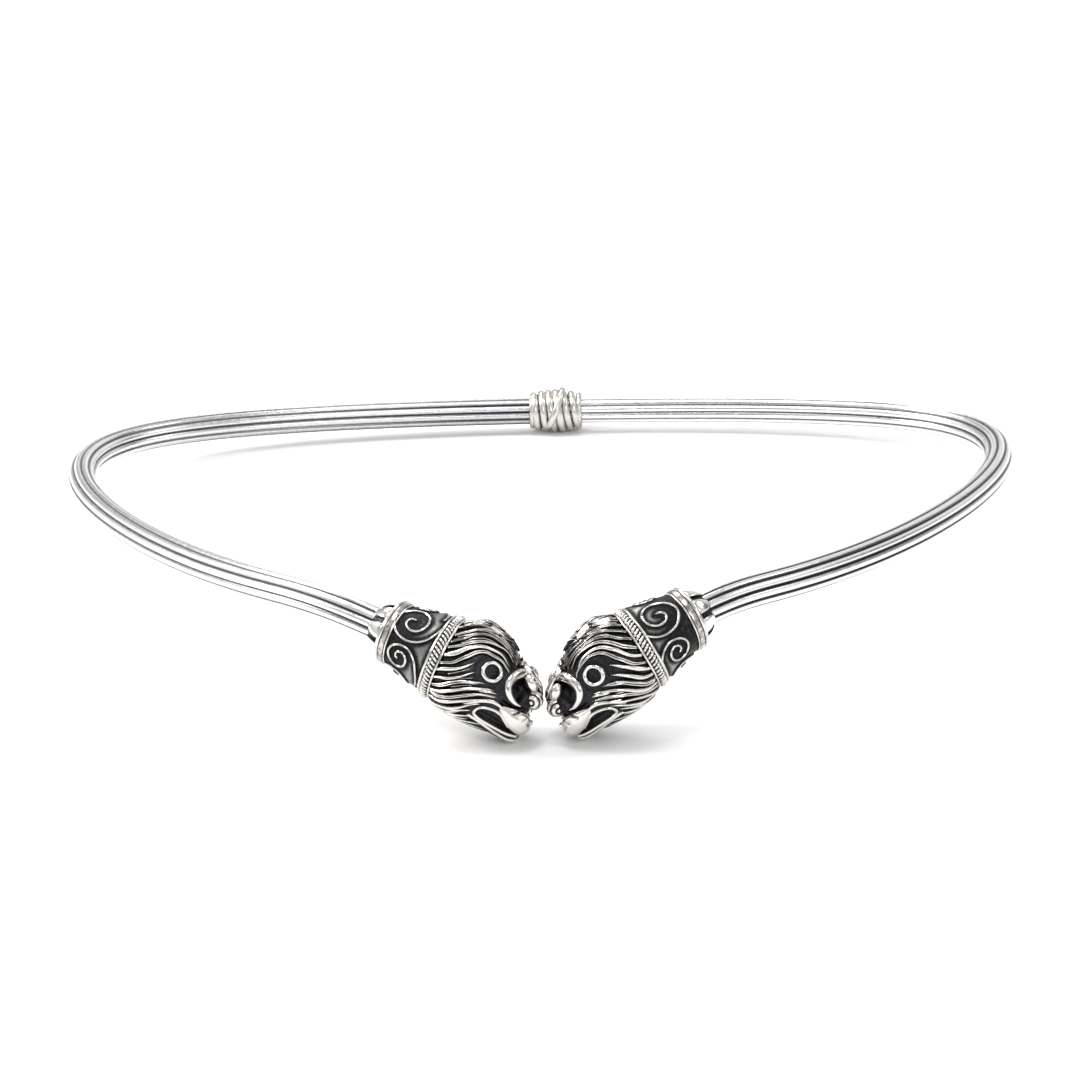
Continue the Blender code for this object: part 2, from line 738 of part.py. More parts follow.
def centre_on_ground():
    """Put the middle of the bounding box over the origin and its lowest point at z = 0."""
    bpy.context.view_layer.update()
    corners = []
    for item in PARTS.objects:
        if item.type == "MESH":
            corners += [item.matrix_world @ vert.co for vert in item.data.vertices]
    low = [min(corner[i] for corner in corners) for i in range(3)]
    high = [max(corner[i] for corner in corners) for i in range(3)]
    ROOT.location = (-(low[0] + high[0]) / 2, -(low[1] + high[1]) / 2, -low[2])
    bpy.context.view_layer.update()


ROOT = bpy.data.objects.new(NAME, None)
PARTS.objects.link(ROOT)

RIGHT = Arm(1)
LEFT = Arm(-1)

for one in (RIGHT, LEFT):
    side_name = "_right" if one.side > 0 else "_left"
    make_arm(one, material("fluted_silver" + side_name, (0.78, 0.77, 0.75), 0.25))
    make_cup(one, material("petal_silver" + side_name, (0.85, 0.84, 0.82), 0.18))
    make_collar(one, material("collar_silver" + side_name, (0.34, 0.34, 0.36), 0.42))
    make_head(one, material("head_silver" + side_name, (0.50, 0.49, 0.48), 0.35))
make_post((RIGHT, LEFT), material("post_silver", (0.6, 0.6, 0.6), 0.3))
make_binding(material("binding_silver", (0.62, 0.61, 0.60), 0.3))
centre_on_ground()
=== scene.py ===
"""Looks of the open silver torque with lion heads. Metres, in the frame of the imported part.

Each terminal is made straight, as in the part's source: the first coordinate runs from
the nose along the middle line, the second outwards and the third up. Then it is bent
along the ring.
"""

from math import cos, pi, radians, sin, sqrt

import bmesh
import bpy
import numpy as np
from mathutils import Matrix, Vector


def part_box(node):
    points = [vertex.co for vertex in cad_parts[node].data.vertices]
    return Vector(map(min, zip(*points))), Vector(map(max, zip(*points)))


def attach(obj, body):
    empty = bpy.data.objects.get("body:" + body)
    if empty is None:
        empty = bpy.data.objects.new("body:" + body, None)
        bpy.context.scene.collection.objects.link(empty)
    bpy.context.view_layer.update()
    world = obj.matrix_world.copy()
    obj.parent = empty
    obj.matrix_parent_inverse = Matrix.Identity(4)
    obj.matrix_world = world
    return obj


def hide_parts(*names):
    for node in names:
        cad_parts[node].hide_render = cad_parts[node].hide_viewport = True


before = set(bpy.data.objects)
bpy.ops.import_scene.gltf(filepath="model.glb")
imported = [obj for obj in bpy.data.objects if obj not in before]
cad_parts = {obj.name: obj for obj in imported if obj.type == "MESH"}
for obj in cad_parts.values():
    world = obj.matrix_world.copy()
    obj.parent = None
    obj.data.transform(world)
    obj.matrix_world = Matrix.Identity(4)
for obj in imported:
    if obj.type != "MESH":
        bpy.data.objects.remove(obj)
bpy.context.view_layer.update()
MM = 0.001

# Ring, as in the part's source
HALF_WIDTH = {1: 64.6 * MM, -1: 68.4 * MM}  # right arm, left arm
HALF_DEPTH = 57.6 * MM
BACK_FLATNESS = 0.239
SHOULDER = -0.026
RING_TILT = 0.109
DROOP_END = 10.0 * MM
DROOP_RUN = {1: 32.0 * MM, -1: 40.5 * MM}
DROOP = {1: 0.53976, -1: 0.4344}  # slope that brings the chins to the ground
TWIST = {1: radians(-5.0), -1: radians(4.0)}
NOSE_GAP = 0.2 * MM
BACK_HEIGHT = 3.32 * MM  # middle line over the ground at the back

# Lengths along a terminal, counted from the nose
HEAD_LENGTH = 12.5 * MM
HEAD_RADIUS = 6.1 * MM
FIT_GAP = 0.12 * MM
COLLAR_LENGTH = 8.2 * MM
HEAD_START = NOSE_GAP / 2
HEAD_END = HEAD_START + HEAD_LENGTH
COLLAR_START = HEAD_END + FIT_GAP
COLLAR_END = COLLAR_START + COLLAR_LENGTH
CUP_START = COLLAR_END + FIT_GAP
TUBE_START = CUP_START + 0.4 * MM

# Tube
TUBE_RADIUS = 2.05 * MM
FLUTE_COUNT = 10
FLUTE_DEPTH = 0.34 * MM
FLUTE_SHAPE = 2.3  # power of the section between crest and groove
FLUTE_POINTS = 12
GROOVE_START = 0.5  # share of a flute's half width where the oxide starts
GROOVE_FULL = 0.86
TUBE_STATIONS = 300
# Turn of the flutes in degrees, by share of the arm's length
FLUTE_TURN = {1: ((0.0, -8.5), (0.55, -8.5), (0.95, 2.0), (1.0, 2.0)),
              -1: ((0.0, -1.0), (0.27, -1.0), (0.52, 13.0), (0.95, 20.0), (1.0, 20.0))}
# Oxide left in the grooves, by share of the arm's length
GROOVE_OXIDE = {1: ((0.0, 1.0), (0.2, 0.95), (0.35, 0.76), (0.5, 0.7), (0.7, 0.54), (1.0, 0.46)),
                -1: ((0.0, 0.74), (0.2, 0.66), (0.35, 0.55), (0.5, 0.51), (0.75, 0.58),
                     (0.88, 0.66), (1.0, 0.84))}
# How much darker the crests are, likewise
CREST_DARKENING = {1: ((0.0, 0.29), (0.2, 0.27), (0.5, 0.29), (0.7, 0.26), (1.0, 0.24)),
                 -1: ((0.0, 0.22), (0.5, 0.22), (0.62, 0.26), (0.75, 0.36), (1.0, 0.4))}
POST_RADIUS = 1.0 * MM

# Petal cup
CUP_TIP = 2.45 * MM  # radius at the tips of the petals
CUP_FOOT = 3.55 * MM
CUP_CURVE = 1.25  # power of its flare
CUP_SHOULDER = 0.12 * MM  # how far the petals bulge
PETAL_COUNT = 8
PETAL_TURN = {1: 26.0, -1: 40.0}  # turn of the first slot in degrees
PETAL_LENGTH = 1.95 * MM
PETAL_SLOT = 0.31 * MM  # half width of the slot at its foot
SLOT_FLARE = 0.12 * MM  # how much wider it gets at the tips
PETAL_WALL = 0.4 * MM
PETAL_CROWN = 0.12 * MM  # how far its sides fall away
PETAL_CORNER = 0.48  # how much its tip is rounded off, from CORNER_START
CORNER_START = 0.5
SIDE_OXIDE = (0.86, 0.99)  # shares of a petal where the oxide starts and is full
# along a petal, where its tip starts to turn darker and is darkest
TIP_DARKENING = (0.93, 1.0)
LINER_END = 0.96  # share of the petals' length, for the shell under them
LINER_DROP = 0.9 * PETAL_WALL
LINER_CLEARANCE = 0.04 * MM

# Collar
BAND_WIDTH = 1.6 * MM
BAND_RADIUS = 5.45 * MM
EDGE_WIRE = 0.17 * MM  # radius of the plain wires of the rope band
ROPE_WIRE = 0.175 * MM
ROPE_SWAY = 0.3 * MM
ROPE_TURNS = 30
RIM_WIDTH = 1.5 * MM
RIM_RADIUS = 4.2 * MM
RIM_WEAR = 0.4  # recess of its flat band
DRUM_FRONT = 5.0 * MM
DRUM_REAR = 3.9 * MM
DRUM_CURVE = 1.25  # power of its flare
DRUM_INSET = 0.2 * MM  # how far its ends lie inside the band and the rim
DRUM_HIGHLIGHT_REACH = (2.6 * MM, 4.6 * MM)  # from the front, where its painted highlight fades
DRUM_WEAR_AND_HIGHLIGHT = (0.12, 0.75)  # lighter by wear all over, and by a painted highlight at the front
DRUM_SHADE = (0.3 * MM, 0.95 * MM)  # from a wire, where the worn and painted-highlight part starts and is full
BAND_SHADE = 0.25 * MM  # distance at which the edge of the rope band counts as a wire
SCROLL_PAIRS = 3
SCROLL_WIDTH = 0.185 * MM  # half width of the flattened wire
SCROLL_HEIGHT = 0.24 * MM
BIG_SCROLL = 2.3 * MM
SMALL_SCROLL = 1.48 * MM
BIG_PLACE = (4.2 * MM, 60.0)  # along, and turn in degrees
SMALL_PLACE = (4.1 * MM, -2.0)
SCROLL_SHIFT = {1: (-0.3 * MM, 2.0), -1: (0.7 * MM, -4.0)}  # likewise, for each arm
SCROLL_LEAN = 0.18  # of its normal towards the cup
# Rings of the rim: distance from the end, drop from RIM_RADIUS, half width and height in mm
RIM_RING = (0.27, 0.3, 0.25, 0.3)
RIM_BAND = (0.88, 0.4, 0.36, 0.34)
RIM_WIRE = (1.36, 0.24, 0.13, 0.2)

# Binding at the back
BINDING_WIRE = 1.2 * MM
BINDING_TURNS = 7
BINDING_BULGE = 0.32 * MM  # how much further out the middle turns lie
BINDING_SLANT = -0.3 * MM
BINDING_FIT = 0.26  # of the wire, how far its middle lies off the tube
BINDING_ROUND = 0.52  # of the wire, its half width
BINDING_END = 0.38  # likewise, for the ring at each end
BINDING_SINK = 0.15 * MM  # of the crossing turn, where it passes below
CROSSING_WIRE = 1.12 * MM
CROSSING = (-0.06, 0.36, -1.5)  # middle and reach as shares of half, start in radians
CROSSING_RISE = 0.4 * MM  # how far it lies over the other turns
BINDING_LIFT = 0.02 * MM


# Middle line

def smooth_run(t):
    """Integral of the smoothstep ramp, straight past 1."""
    c = np.clip(t, 0.0, 1.0)
    return c ** 3 - 0.5 * c ** 4 + np.maximum(t - 1.0, 0.0)


def shares(count):
    """Even steps from 0 to 1."""
    return np.linspace(0.0, 1.0, count)


def unit(rows):
    return rows / np.linalg.norm(rows, axis=-1, keepdims=True)


class Arm:
    """The middle line of one arm, read by its distance from the nose."""

    def __init__(self, side, shift=(0.0, 0.0)):
        self.side = side
        self.tag = "right" if side > 0 else "left"
        share = shares(2001)
        ph = pi * (share - 0.5)
        x = HALF_WIDTH[side] * np.cos(ph) + NOSE_GAP / 2 * (1 - share)
        y = np.sin(ph) + BACK_FLATNESS * (np.cos(2 * ph) + 1) + SHOULDER * np.sin(3 * ph)
        y = HALF_DEPTH * y
        run = np.hypot(np.diff(side * x), np.diff(y))
        run = np.concatenate(([0.0], np.cumsum(run)))
        ramp = DROOP_RUN[side] - DROOP_END
        z = BACK_HEIGHT + RING_TILT * (y[-1] - y)
        z = z - DROOP[side] * ramp * smooth_run((DROOP_RUN[side] - run) / ramp)
        self.points = np.column_stack((side * x + shift[0], y + shift[1], z))
        steps = np.linalg.norm(np.diff(self.points, axis=0), axis=1)
        self.dist = np.concatenate(([0.0], np.cumsum(steps)))
        self.length = self.dist[-1]

    def centre(self, a):
        place = np.stack([np.interp(a, self.dist, self.points[:, k]) for k in range(3)], -1)
        first = unit(self.points[1] - self.points[0])
        return place + np.minimum(a, 0.0)[..., None] * first

    def place(self, rows):
        """World places of points of the straight terminal, an array of N x 3."""
        a, out, up = rows[:, 0], rows[:, 1:2], rows[:, 2:3]
        step = 0.4 * MM
        along = unit(self.centre(a + step) - self.centre(a - step))
        outward = unit(np.cross(along, (0.0, 0.0, 1.0))) * self.side
        upward = np.cross(outward, along) * self.side
        c, s = cos(TWIST[self.side]), sin(TWIST[self.side])
        return self.centre(a) + outward * (out * c - up * s) + upward * (out * s + up * c)


def frame_shift():
    """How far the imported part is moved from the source's own centre, read from the post."""
    low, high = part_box("back_post")
    back = Arm(1).points[-1]
    return ((low.x + high.x) / 2, high.y - POST_RADIUS - back[1])


# Meshes

def polar(along, radius, turn):
    """Points by their place along, their radius and their turn round the middle line."""
    along, radius, turn = np.broadcast_arrays(along, radius, turn)
    return np.stack((along, radius * np.cos(turn), radius * np.sin(turn)), -1)


def full_turn(count):
    """Even steps round a circle, in radians."""
    return np.linspace(0.0, 2 * pi, count, endpoint=False)


def mirror(points, side):
    return points * np.array((1.0, side, 1.0))


def rise(value, low, high):
    """Smooth step from 0 at low to 1 at high."""
    t = np.clip((value - low) / (high - low), 0.0, 1.0)
    return t * t * (3 - 2 * t)


def smooth(values, reach):
    """Values averaged with the ones up to reach places away."""
    kernel = np.hanning(2 * reach + 1)
    pad = np.pad(values, reach, mode="reflect", reflect_type="odd")
    return np.convolve(pad, kernel / kernel.sum(), "valid")


def add_object(name, data):
    item = bpy.data.objects.new(name, data)
    bpy.context.scene.collection.objects.link(item)
    return item


class Casting:
    """Collects closed skins in straight coordinates, to be bent along an arm as one mesh."""

    def __init__(self):
        self.points = []
        self.recess = []
        self.faces = []
        self.count = 0

    def grid(self, rows, recess, closed=False):
        """Closed skin through rows of points, each row a ring. closed joins the last row to
        the first, and otherwise both ends are capped."""
        count, around = rows.shape[:2]
        faces = []
        for i in range(count if closed else count - 1):
            low, high = i * around, (i + 1) % count * around
            for j in range(around):
                k = (j + 1) % around
                faces.append((low + j, low + k, high + k, high + j))
        points = rows.reshape(-1, 3)
        recess = np.broadcast_to(recess, (count, around)).reshape(-1)
        if not closed:
            first, last = len(points), len(points) + 1
            points = np.vstack((points, rows[0].mean(0), rows[-1].mean(0)))
            recess = np.concatenate((recess, (recess[0], recess[-1])))
            for j in range(around):
                k = (j + 1) % around
                faces.append((first, k, j))
                faces.append((last, (count - 1) * around + j, (count - 1) * around + k))
        self.faces += [tuple(i + self.count for i in face) for face in faces]
        self.points.append(points)
        self.recess.append(recess)
        self.count += len(points)

    def sweep(self, path, normal, section, width, height, closed=False, side=1):
        """Bar along a path. Its section is a ring of (across, off the surface) pairs and
        their recess."""
        profile, recess = section
        path = mirror(path, side)
        normal = mirror(normal, side)
        if closed:
            along = unit(np.roll(path, -1, 0) - np.roll(path, 1, 0))
        else:
            along = unit(np.gradient(path, axis=0))
        across = unit(np.cross(along, normal))
        lift = np.cross(across, along)
        width = np.broadcast_to(width, len(path))[:, None, None]
        height = np.broadcast_to(height, len(path))[:, None, None]
        rows = path[:, None, :] + across[:, None, :] * profile[None, :, 0:1] * width
        rows = rows + lift[:, None, :] * profile[None, :, 1:2] * height
        self.grid(rows, np.broadcast_to(recess, (len(path), len(profile))), closed)

    def blob(self, centre, radii, recess, axes, rings, around, shape=None):
        """Ellipsoid; axes holds its three directions as rows."""
        polar_angle = np.linspace(0.02, pi - 0.02, rings)[:, None]
        ball = polar(np.cos(polar_angle), np.sin(polar_angle), full_turn(around)[None, :])
        if shape is not None:
            ball = shape(ball)
        worn = recess(ball) if callable(recess) else recess
        rows = ball * np.asarray(radii)
        if axes is not None:
            rows = rows @ np.asarray(axes)
        self.grid(rows + np.asarray(centre), worn)

    def make(self, name, mat, arm=None, move=None):
        points = np.vstack(self.points)
        if arm is not None:
            points = arm.place(points)
        if move is not None:
            points = points + np.asarray(move)
        mesh = bpy.data.meshes.new(name)
        mesh.from_pydata(points.tolist(), [], self.faces)
        layer = mesh.attributes.new("recess", "FLOAT", "POINT")
        layer.data.foreach_set("value", np.concatenate(self.recess).astype(np.float32))
        mesh.update()
        tidy_normals(mesh)
        mesh.materials.append(mat)
        mesh.shade_smooth()
        return add_object(name, mesh)


def tidy_normals(mesh):
    shape = bmesh.new()
    shape.from_mesh(mesh)
    bmesh.ops.recalc_face_normals(shape, faces=shape.faces)
    shape.to_mesh(mesh)
    shape.free()


def spline(rows, count):
    """Smooth line through rows of numbers, read at even steps of its own length."""
    rows = np.asarray(rows, float)
    ends = np.vstack((2 * rows[0] - rows[1], rows, 2 * rows[-1] - rows[-2]))
    fine = []
    for i in range(1, len(ends) - 2):
        t = np.linspace(0.0, 1.0, 24, endpoint=False)[:, None]
        p, q, r, s = ends[i - 1], ends[i], ends[i + 1], ends[i + 2]
        fine.append(0.5 * (2 * q + (r - p) * t + (2 * p - 5 * q + 4 * r - s) * t ** 2
                           + (3 * q - p - 3 * r + s) * t ** 3))
    fine = np.vstack(fine + [rows[-1:]])
    share = np.linspace(0.0, len(fine) - 1.0, count)
    return np.stack([np.interp(share, np.arange(len(fine)), fine[:, k])
                     for k in range(fine.shape[1])], -1)


def circle(count):
    turn = full_turn(count)
    return np.stack((np.cos(turn), np.sin(turn)), -1)


def round_wire(count, low, high):
    """Round section of a wire, polished on top."""
    ring = circle(count)
    return ring, rise(-ring[:, 1], low, high)


def ring_path(along, radius, count):
    """Circle round the middle line, and its normals."""
    turn = full_turn(count)
    return polar(along, radius, turn), polar(0.0, 1.0, turn)


def lock_profile(lines, lean, cut, worn_from):
    """Section of a carved lock: a crest that leans to one side, with lines cut along it to a
    share of its height, polished above another share."""
    across = np.linspace(-1.0, 1.0, 15)
    crest = (1 - np.abs(across) ** 2.2) ** 0.8
    for i in range(lines):
        middle = 2.0 * (i + 1) / (lines + 1) - 1.0
        crest = crest * (1 - cut * np.exp(-((across - middle) / 0.16) ** 2))
    worn = 1 - rise(crest, worn_from, 0.95)
    place = across + lean * (1 - across ** 2)
    ring = [(-1.0, -1.2)] + list(zip(place, crest)) + [(1.0, -1.2)]
    return np.array(ring), np.concatenate(([1.0], worn, [1.0]))


# Materials

CLOUD_SIZE = 3.0 * MM
CLOUD_SHADE = 0.88  # share of the bright colour that a cloud leaves
SPECKLE_SIZE = 0.22 * MM
SPECKLE_EDGE = (0.42, 0.62)
OXIDE_SPECKLE = 2.6  # how many times lighter the speckles of the oxide are
SMEAR_SIZE = 0.9 * MM
SMEAR = (-0.05, 0.06)  # how much smoother and rougher
PIT_SIZE = 0.12 * MM
PIT_SHARE = (0.35, 1.0)  # on the polished places and in the recesses
WAVE_SIZE = 0.8 * MM
WAVE_SHARE = 1.5
BUMP = 0.35
BUMP_HEIGHT = 0.02 * MM


def join(tree, value, socket):
    """Gives a socket a fixed value, or the output of another node."""
    if isinstance(value, bpy.types.NodeSocket):
        tree.links.new(value, socket)
    else:
        socket.default_value = value


def add_node(tree, kind, output, inputs, **settings):
    """Output of a new node that has these settings and these values or sockets as inputs."""
    node = tree.nodes.new("ShaderNode" + kind)
    for name, value in settings.items():
        setattr(node, name, value)
    for name, value in inputs.items():
        join(tree, value, node.inputs[name])
    return node.outputs[output]


def colour(row, share=1.0):
    return (*[c * share for c in row], 1.0)


def mix(tree, factor, one, two):
    inputs = {"Factor": factor, "A": one, "B": two}
    return add_node(tree, "Mix", "Result", inputs, data_type="RGBA")


def span(tree, value, from_low, from_high, to_low, to_high):
    return add_node(tree, "MapRange", "Result", {
        "Value": value, "From Min": from_low, "From Max": from_high,
        "To Min": to_low, "To Max": to_high})


def maths(tree, operation, one, two):
    return add_node(tree, "Math", 0, {0: one, 1: two}, operation=operation)


def noise(tree, size, detail=3.0, rough=0.55):
    """Noise with features of about the given size in metres."""
    place = add_node(tree, "TexCoord", "Object", {})
    return add_node(tree, "TexNoise", "Fac", {
        "Vector": place, "Scale": 1.0 / size, "Detail": detail, "Roughness": rough})


def silver(name, bright, oxide, gloss, dull, patch, grain=0.0, edge=(0.25, 0.75),
           patch_size=0.5 * MM, tarnish=(0.26, 0.23, 0.2)):
    """Silver that is polished on its high places and oxidised in its recesses.

    bright, tarnish and oxide are colours, gloss and dull the roughness of the first and
    last. patch is how unevenly the oxide has worn off, edge the recess where it starts and
    is full, and grain how rough the cast surface is."""
    mat = bpy.data.materials.new(name)
    mat.use_nodes = True
    tree = mat.node_tree
    recess = add_node(tree, "Attribute", "Fac", {}, attribute_name="recess")
    uneven = span(tree, noise(tree, patch_size), 0.3, 0.7, -patch / 2, patch / 2)
    mask = span(tree, maths(tree, "ADD", recess, uneven), *edge, 0.0, 1.0)
    cloudy = mix(tree, noise(tree, CLOUD_SIZE), colour(bright), colour(bright, CLOUD_SHADE))
    dim = mix(tree, span(tree, mask, 0.0, 0.5, 0.0, 1.0), cloudy, colour(tarnish))
    speckle = span(tree, noise(tree, SPECKLE_SIZE, 4.0, 0.7), *SPECKLE_EDGE, 0.0, 1.0)
    black = mix(tree, speckle, colour(oxide), colour(oxide, OXIDE_SPECKLE))
    full = mix(tree, span(tree, mask, 0.5, 1.0, 0.0, 1.0), dim, black)
    smear = span(tree, noise(tree, SMEAR_SIZE, 4.0), 0.3, 0.7, *SMEAR)
    rough = maths(tree, "ADD", span(tree, mask, 0.0, 1.0, gloss, dull), smear)
    pits = maths(tree, "MULTIPLY", noise(tree, PIT_SIZE, 5.0, 0.7),
                 span(tree, mask, 0.0, 1.0, *PIT_SHARE))
    waves = maths(tree, "MULTIPLY", noise(tree, WAVE_SIZE, 2.0), WAVE_SHARE)
    bump = add_node(tree, "Bump", "Normal", {
        "Strength": BUMP + grain, "Distance": BUMP_HEIGHT,
        "Height": maths(tree, "ADD", pits, waves)})
    inputs = tree.nodes["Principled BSDF"].inputs
    inputs["Metallic"].default_value = 1.0
    for name, value in (("Base Color", full), ("Roughness", rough), ("Normal", bump)):
        tree.links.new(value, inputs[name])
    return mat


# Arms

def place_piece(item, node):
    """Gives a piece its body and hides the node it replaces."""
    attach(item, "root")
    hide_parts(node)


def flute_ring():
    """Section of the tube: turn, radius and recess of each point, for rounded flutes with
    grooves between them."""
    share = (1 - np.cos(np.linspace(0.0, pi, FLUTE_POINTS, endpoint=False))) / 2
    off = np.abs(2 * share - 1)
    radius = np.tile(TUBE_RADIUS - FLUTE_DEPTH * off ** FLUTE_SHAPE, FLUTE_COUNT)
    turn = np.concatenate([(i + share) / FLUTE_COUNT for i in range(FLUTE_COUNT)])
    recess = np.tile(rise(off, GROOVE_START, GROOVE_FULL), FLUTE_COUNT)
    return turn * 2 * pi, radius, recess


def along_arm(tables, arm, stations):
    """A table's value at each station of its arm."""
    table = np.array(tables[arm.side])
    return np.interp(stations / arm.length, table[:, 0], table[:, 1])


def make_arm(arm, mat):
    turn, radius, recess = flute_ring()
    stations = np.linspace(TUBE_START, arm.length - FIT_GAP / 2, TUBE_STATIONS)
    twist = np.radians(along_arm(FLUTE_TURN, arm, stations))
    rows = polar(stations[:, None], radius, turn[None, :] + twist[:, None])
    low = along_arm(GROOVE_OXIDE, arm, stations)[:, None]
    # the crests are made darker by the amounts listed above, which differ along the arm
    high = along_arm(CREST_DARKENING, arm, stations)[:, None]
    tube = Casting()
    tube.grid(rows, high + (low - high) * recess)
    item = tube.make("fluted_arm_" + arm.tag, mat, arm)
    place_piece(item, "arm_" + arm.tag)


# Petal cups

def cup_radius(t):
    flare = (CUP_TIP - CUP_FOOT) * t ** CUP_CURVE
    return CUP_FOOT + flare + CUP_SHOULDER * np.sin(pi * t)


def add_petal(cup, middle):
    """One petal: a bent plate with round corners at its tip."""
    across = np.linspace(-1.0, 1.0, 15)
    crown = (1 - np.abs(across) ** 4) ** 0.5
    rows, worn = [], []
    for t in shares(18):
        radius = cup_radius(t)
        past = max((t - CORNER_START) / (1 - CORNER_START), 0.0)
        slot = PETAL_SLOT + SLOT_FLARE * t ** 2
        half = (pi / PETAL_COUNT - slot / radius) * sqrt(1 - PETAL_CORNER * past ** 2)
        turn = middle + np.concatenate((across, across[::-1])) * half
        top = radius - PETAL_CROWN + PETAL_CROWN * crown
        under = np.full(len(across), radius - PETAL_WALL)
        rows.append(polar(CUP_START + PETAL_LENGTH * t, np.concatenate((top, under)), turn))
        # oxide towards the slots, and darker towards the tip
        edge = np.maximum(rise(np.abs(across), *SIDE_OXIDE), rise(t, *TIP_DARKENING))
        worn.append(np.concatenate((edge, np.ones(len(across)))))
    cup.grid(np.array(rows), np.array(worn))


def make_cup(arm, mat):
    cup = Casting()
    rows = []
    for t in np.linspace(0.0, LINER_END, 12):
        radius = max(cup_radius(t) - LINER_DROP, TUBE_RADIUS + LINER_CLEARANCE)
        rows.append(polar(CUP_START + PETAL_LENGTH * t, radius, full_turn(96)))
    cup.grid(np.array(rows), 1.0)
    for i in range(PETAL_COUNT):
        middle = radians(PETAL_TURN[arm.side]) + 2 * pi * (i + 0.5) / PETAL_COUNT
        add_petal(cup, middle)
    item = cup.make("petals_" + arm.tag, mat, arm)
    place_piece(item, "petal_cup_" + arm.tag)


# Collars

def drum_radius(a):
    t = (a - COLLAR_START - BAND_WIDTH) / (COLLAR_LENGTH - BAND_WIDTH - RIM_WIDTH)
    return DRUM_FRONT + (DRUM_REAR - DRUM_FRONT) * np.clip(t, 0.0, 1.0) ** DRUM_CURVE


# Radius of each scroll as a share of its size, by turn from the front in degrees
BIG_TABLE = ((-650, 0.14), (-600, 0.21), (-540, 0.32), (-450, 0.47), (-360, 0.7), (-270, 0.9),
             (-180, 0.97), (-90, 1.05), (-40, 1.18), (0, 1.4), (35, 1.75))
SMALL_TABLE = ((-620, 0.16), (-560, 0.26), (-500, 0.36), (-420, 0.52), (-360, 0.68), (-270, 0.95),
               (-180, 1.02), (-90, 1.0), (-30, 1.22), (15, 1.7), (45, 2.7))


def scroll_path(centre_a, centre_turn, size, table, flip):
    """Points and normals of a scroll that lies on the drum."""
    table = np.array(table, float)
    angle = np.linspace(table[-1, 0], table[0, 0], 150)
    r = size * smooth(np.interp(angle, table[:, 0], table[:, 1]), 6)
    a = centre_a - r * np.cos(np.radians(angle))
    a = np.maximum(a, COLLAR_START + BAND_WIDTH - 0.1 * MM)
    turn = centre_turn + r * np.sin(np.radians(angle)) * flip / drum_radius(centre_a)
    return polar(a, drum_radius(a), turn), unit(polar(SCROLL_LEAN, 1.0, turn))


def collar_scrolls(side):
    shift, turn = SCROLL_SHIFT[side]
    paths = []
    for i in range(SCROLL_PAIRS):
        base = 2 * pi * i / SCROLL_PAIRS + radians(turn)
        for place, size, table, flip in ((BIG_PLACE, BIG_SCROLL, BIG_TABLE, 1),
                                         (SMALL_PLACE, SMALL_SCROLL, SMALL_TABLE, -1)):
            paths.append(scroll_path(COLLAR_START + place[0] + shift,
                                     base + radians(place[1]), size, table, flip))
    return paths


def add_drum(cast, paths):
    """The oxidised drum, a little worn all over and with a painted highlight towards the rope band,
    where no wire is near.
    """
    turn = full_turn(220)
    wires = np.vstack([path for path, normal in paths])
    rows, worn = [], []
    for a in np.linspace(COLLAR_START + DRUM_INSET, COLLAR_END - DRUM_INSET, 60):
        places = polar(a, drum_radius(a), turn)
        near = np.array([np.min(np.linalg.norm(wires - p, axis=1)) for p in places])
        near = np.minimum(near, max(a - COLLAR_START - BAND_WIDTH, 0.0) + BAND_SHADE)
        # painted highlight, strongest next to the rope band and fading backwards
        forward = 1 - rise(a - COLLAR_START, *DRUM_HIGHLIGHT_REACH)
        rows.append(places)
        worn.append(1 - (DRUM_WEAR_AND_HIGHLIGHT[0] + DRUM_WEAR_AND_HIGHLIGHT[1] * forward) * rise(near, *DRUM_SHADE))
    cast.grid(np.array(rows), np.array(worn))


def make_collar(arm, drum_mat, wire_mat):
    paths = collar_scrolls(arm.side)
    drum = Casting()
    add_drum(drum, paths)
    item = drum.make("drum_" + arm.tag, drum_mat, arm)
    place_piece(item, "scroll_collar_" + arm.tag)
    wires = Casting()
    section = lock_profile(1, 0.0, 0.42, 0.25)
    for path, normal in paths:
        taper = 0.85 + 0.15 * np.sin(np.linspace(0.3, pi, len(path)))
        wires.sweep(path, normal, section, SCROLL_WIDTH * taper, SCROLL_HEIGHT)
    add_rope_band(wires)
    add_rim(wires)
    wires_item = wires.make("collar_wires_" + arm.tag, wire_mat, arm)
    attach(wires_item, "root")


def add_rope_band(cast):
    """A rope of two twisted wires between two plain wires, over a black ground."""
    middle = COLLAR_START + BAND_WIDTH / 2
    radius = BAND_RADIUS - EDGE_WIRE - 0.05 * MM
    path, normal = ring_path(middle, radius - 0.26 * MM, 160)
    cast.sweep(path, normal, (circle(12), 1.0), BAND_WIDTH * 0.46, 0.16 * MM, closed=True)
    plain = round_wire(14, -0.25, 0.35)
    for a in (COLLAR_START + EDGE_WIRE + 0.02 * MM, COLLAR_START + BAND_WIDTH - EDGE_WIRE):
        path, normal = ring_path(a, radius - 0.02 * MM, 160)
        cast.sweep(path, normal, plain, EDGE_WIRE, EDGE_WIRE * 1.1, closed=True)
    turn = full_turn(ROPE_TURNS * 14)
    ring, low = round_wire(8, -0.5, 0.3)
    for phase in (0.0, pi):
        lay = ROPE_TURNS * turn + phase
        path = polar(middle + ROPE_SWAY * np.sin(lay), radius + ROPE_WIRE * np.cos(lay), turn)
        depth = rise(-np.cos(lay), -0.35, 0.45)[:, None]
        cast.sweep(path, polar(0.0, 1.0, turn), (ring, np.maximum(depth, low[None, :])),
                   ROPE_WIRE, ROPE_WIRE, closed=True)


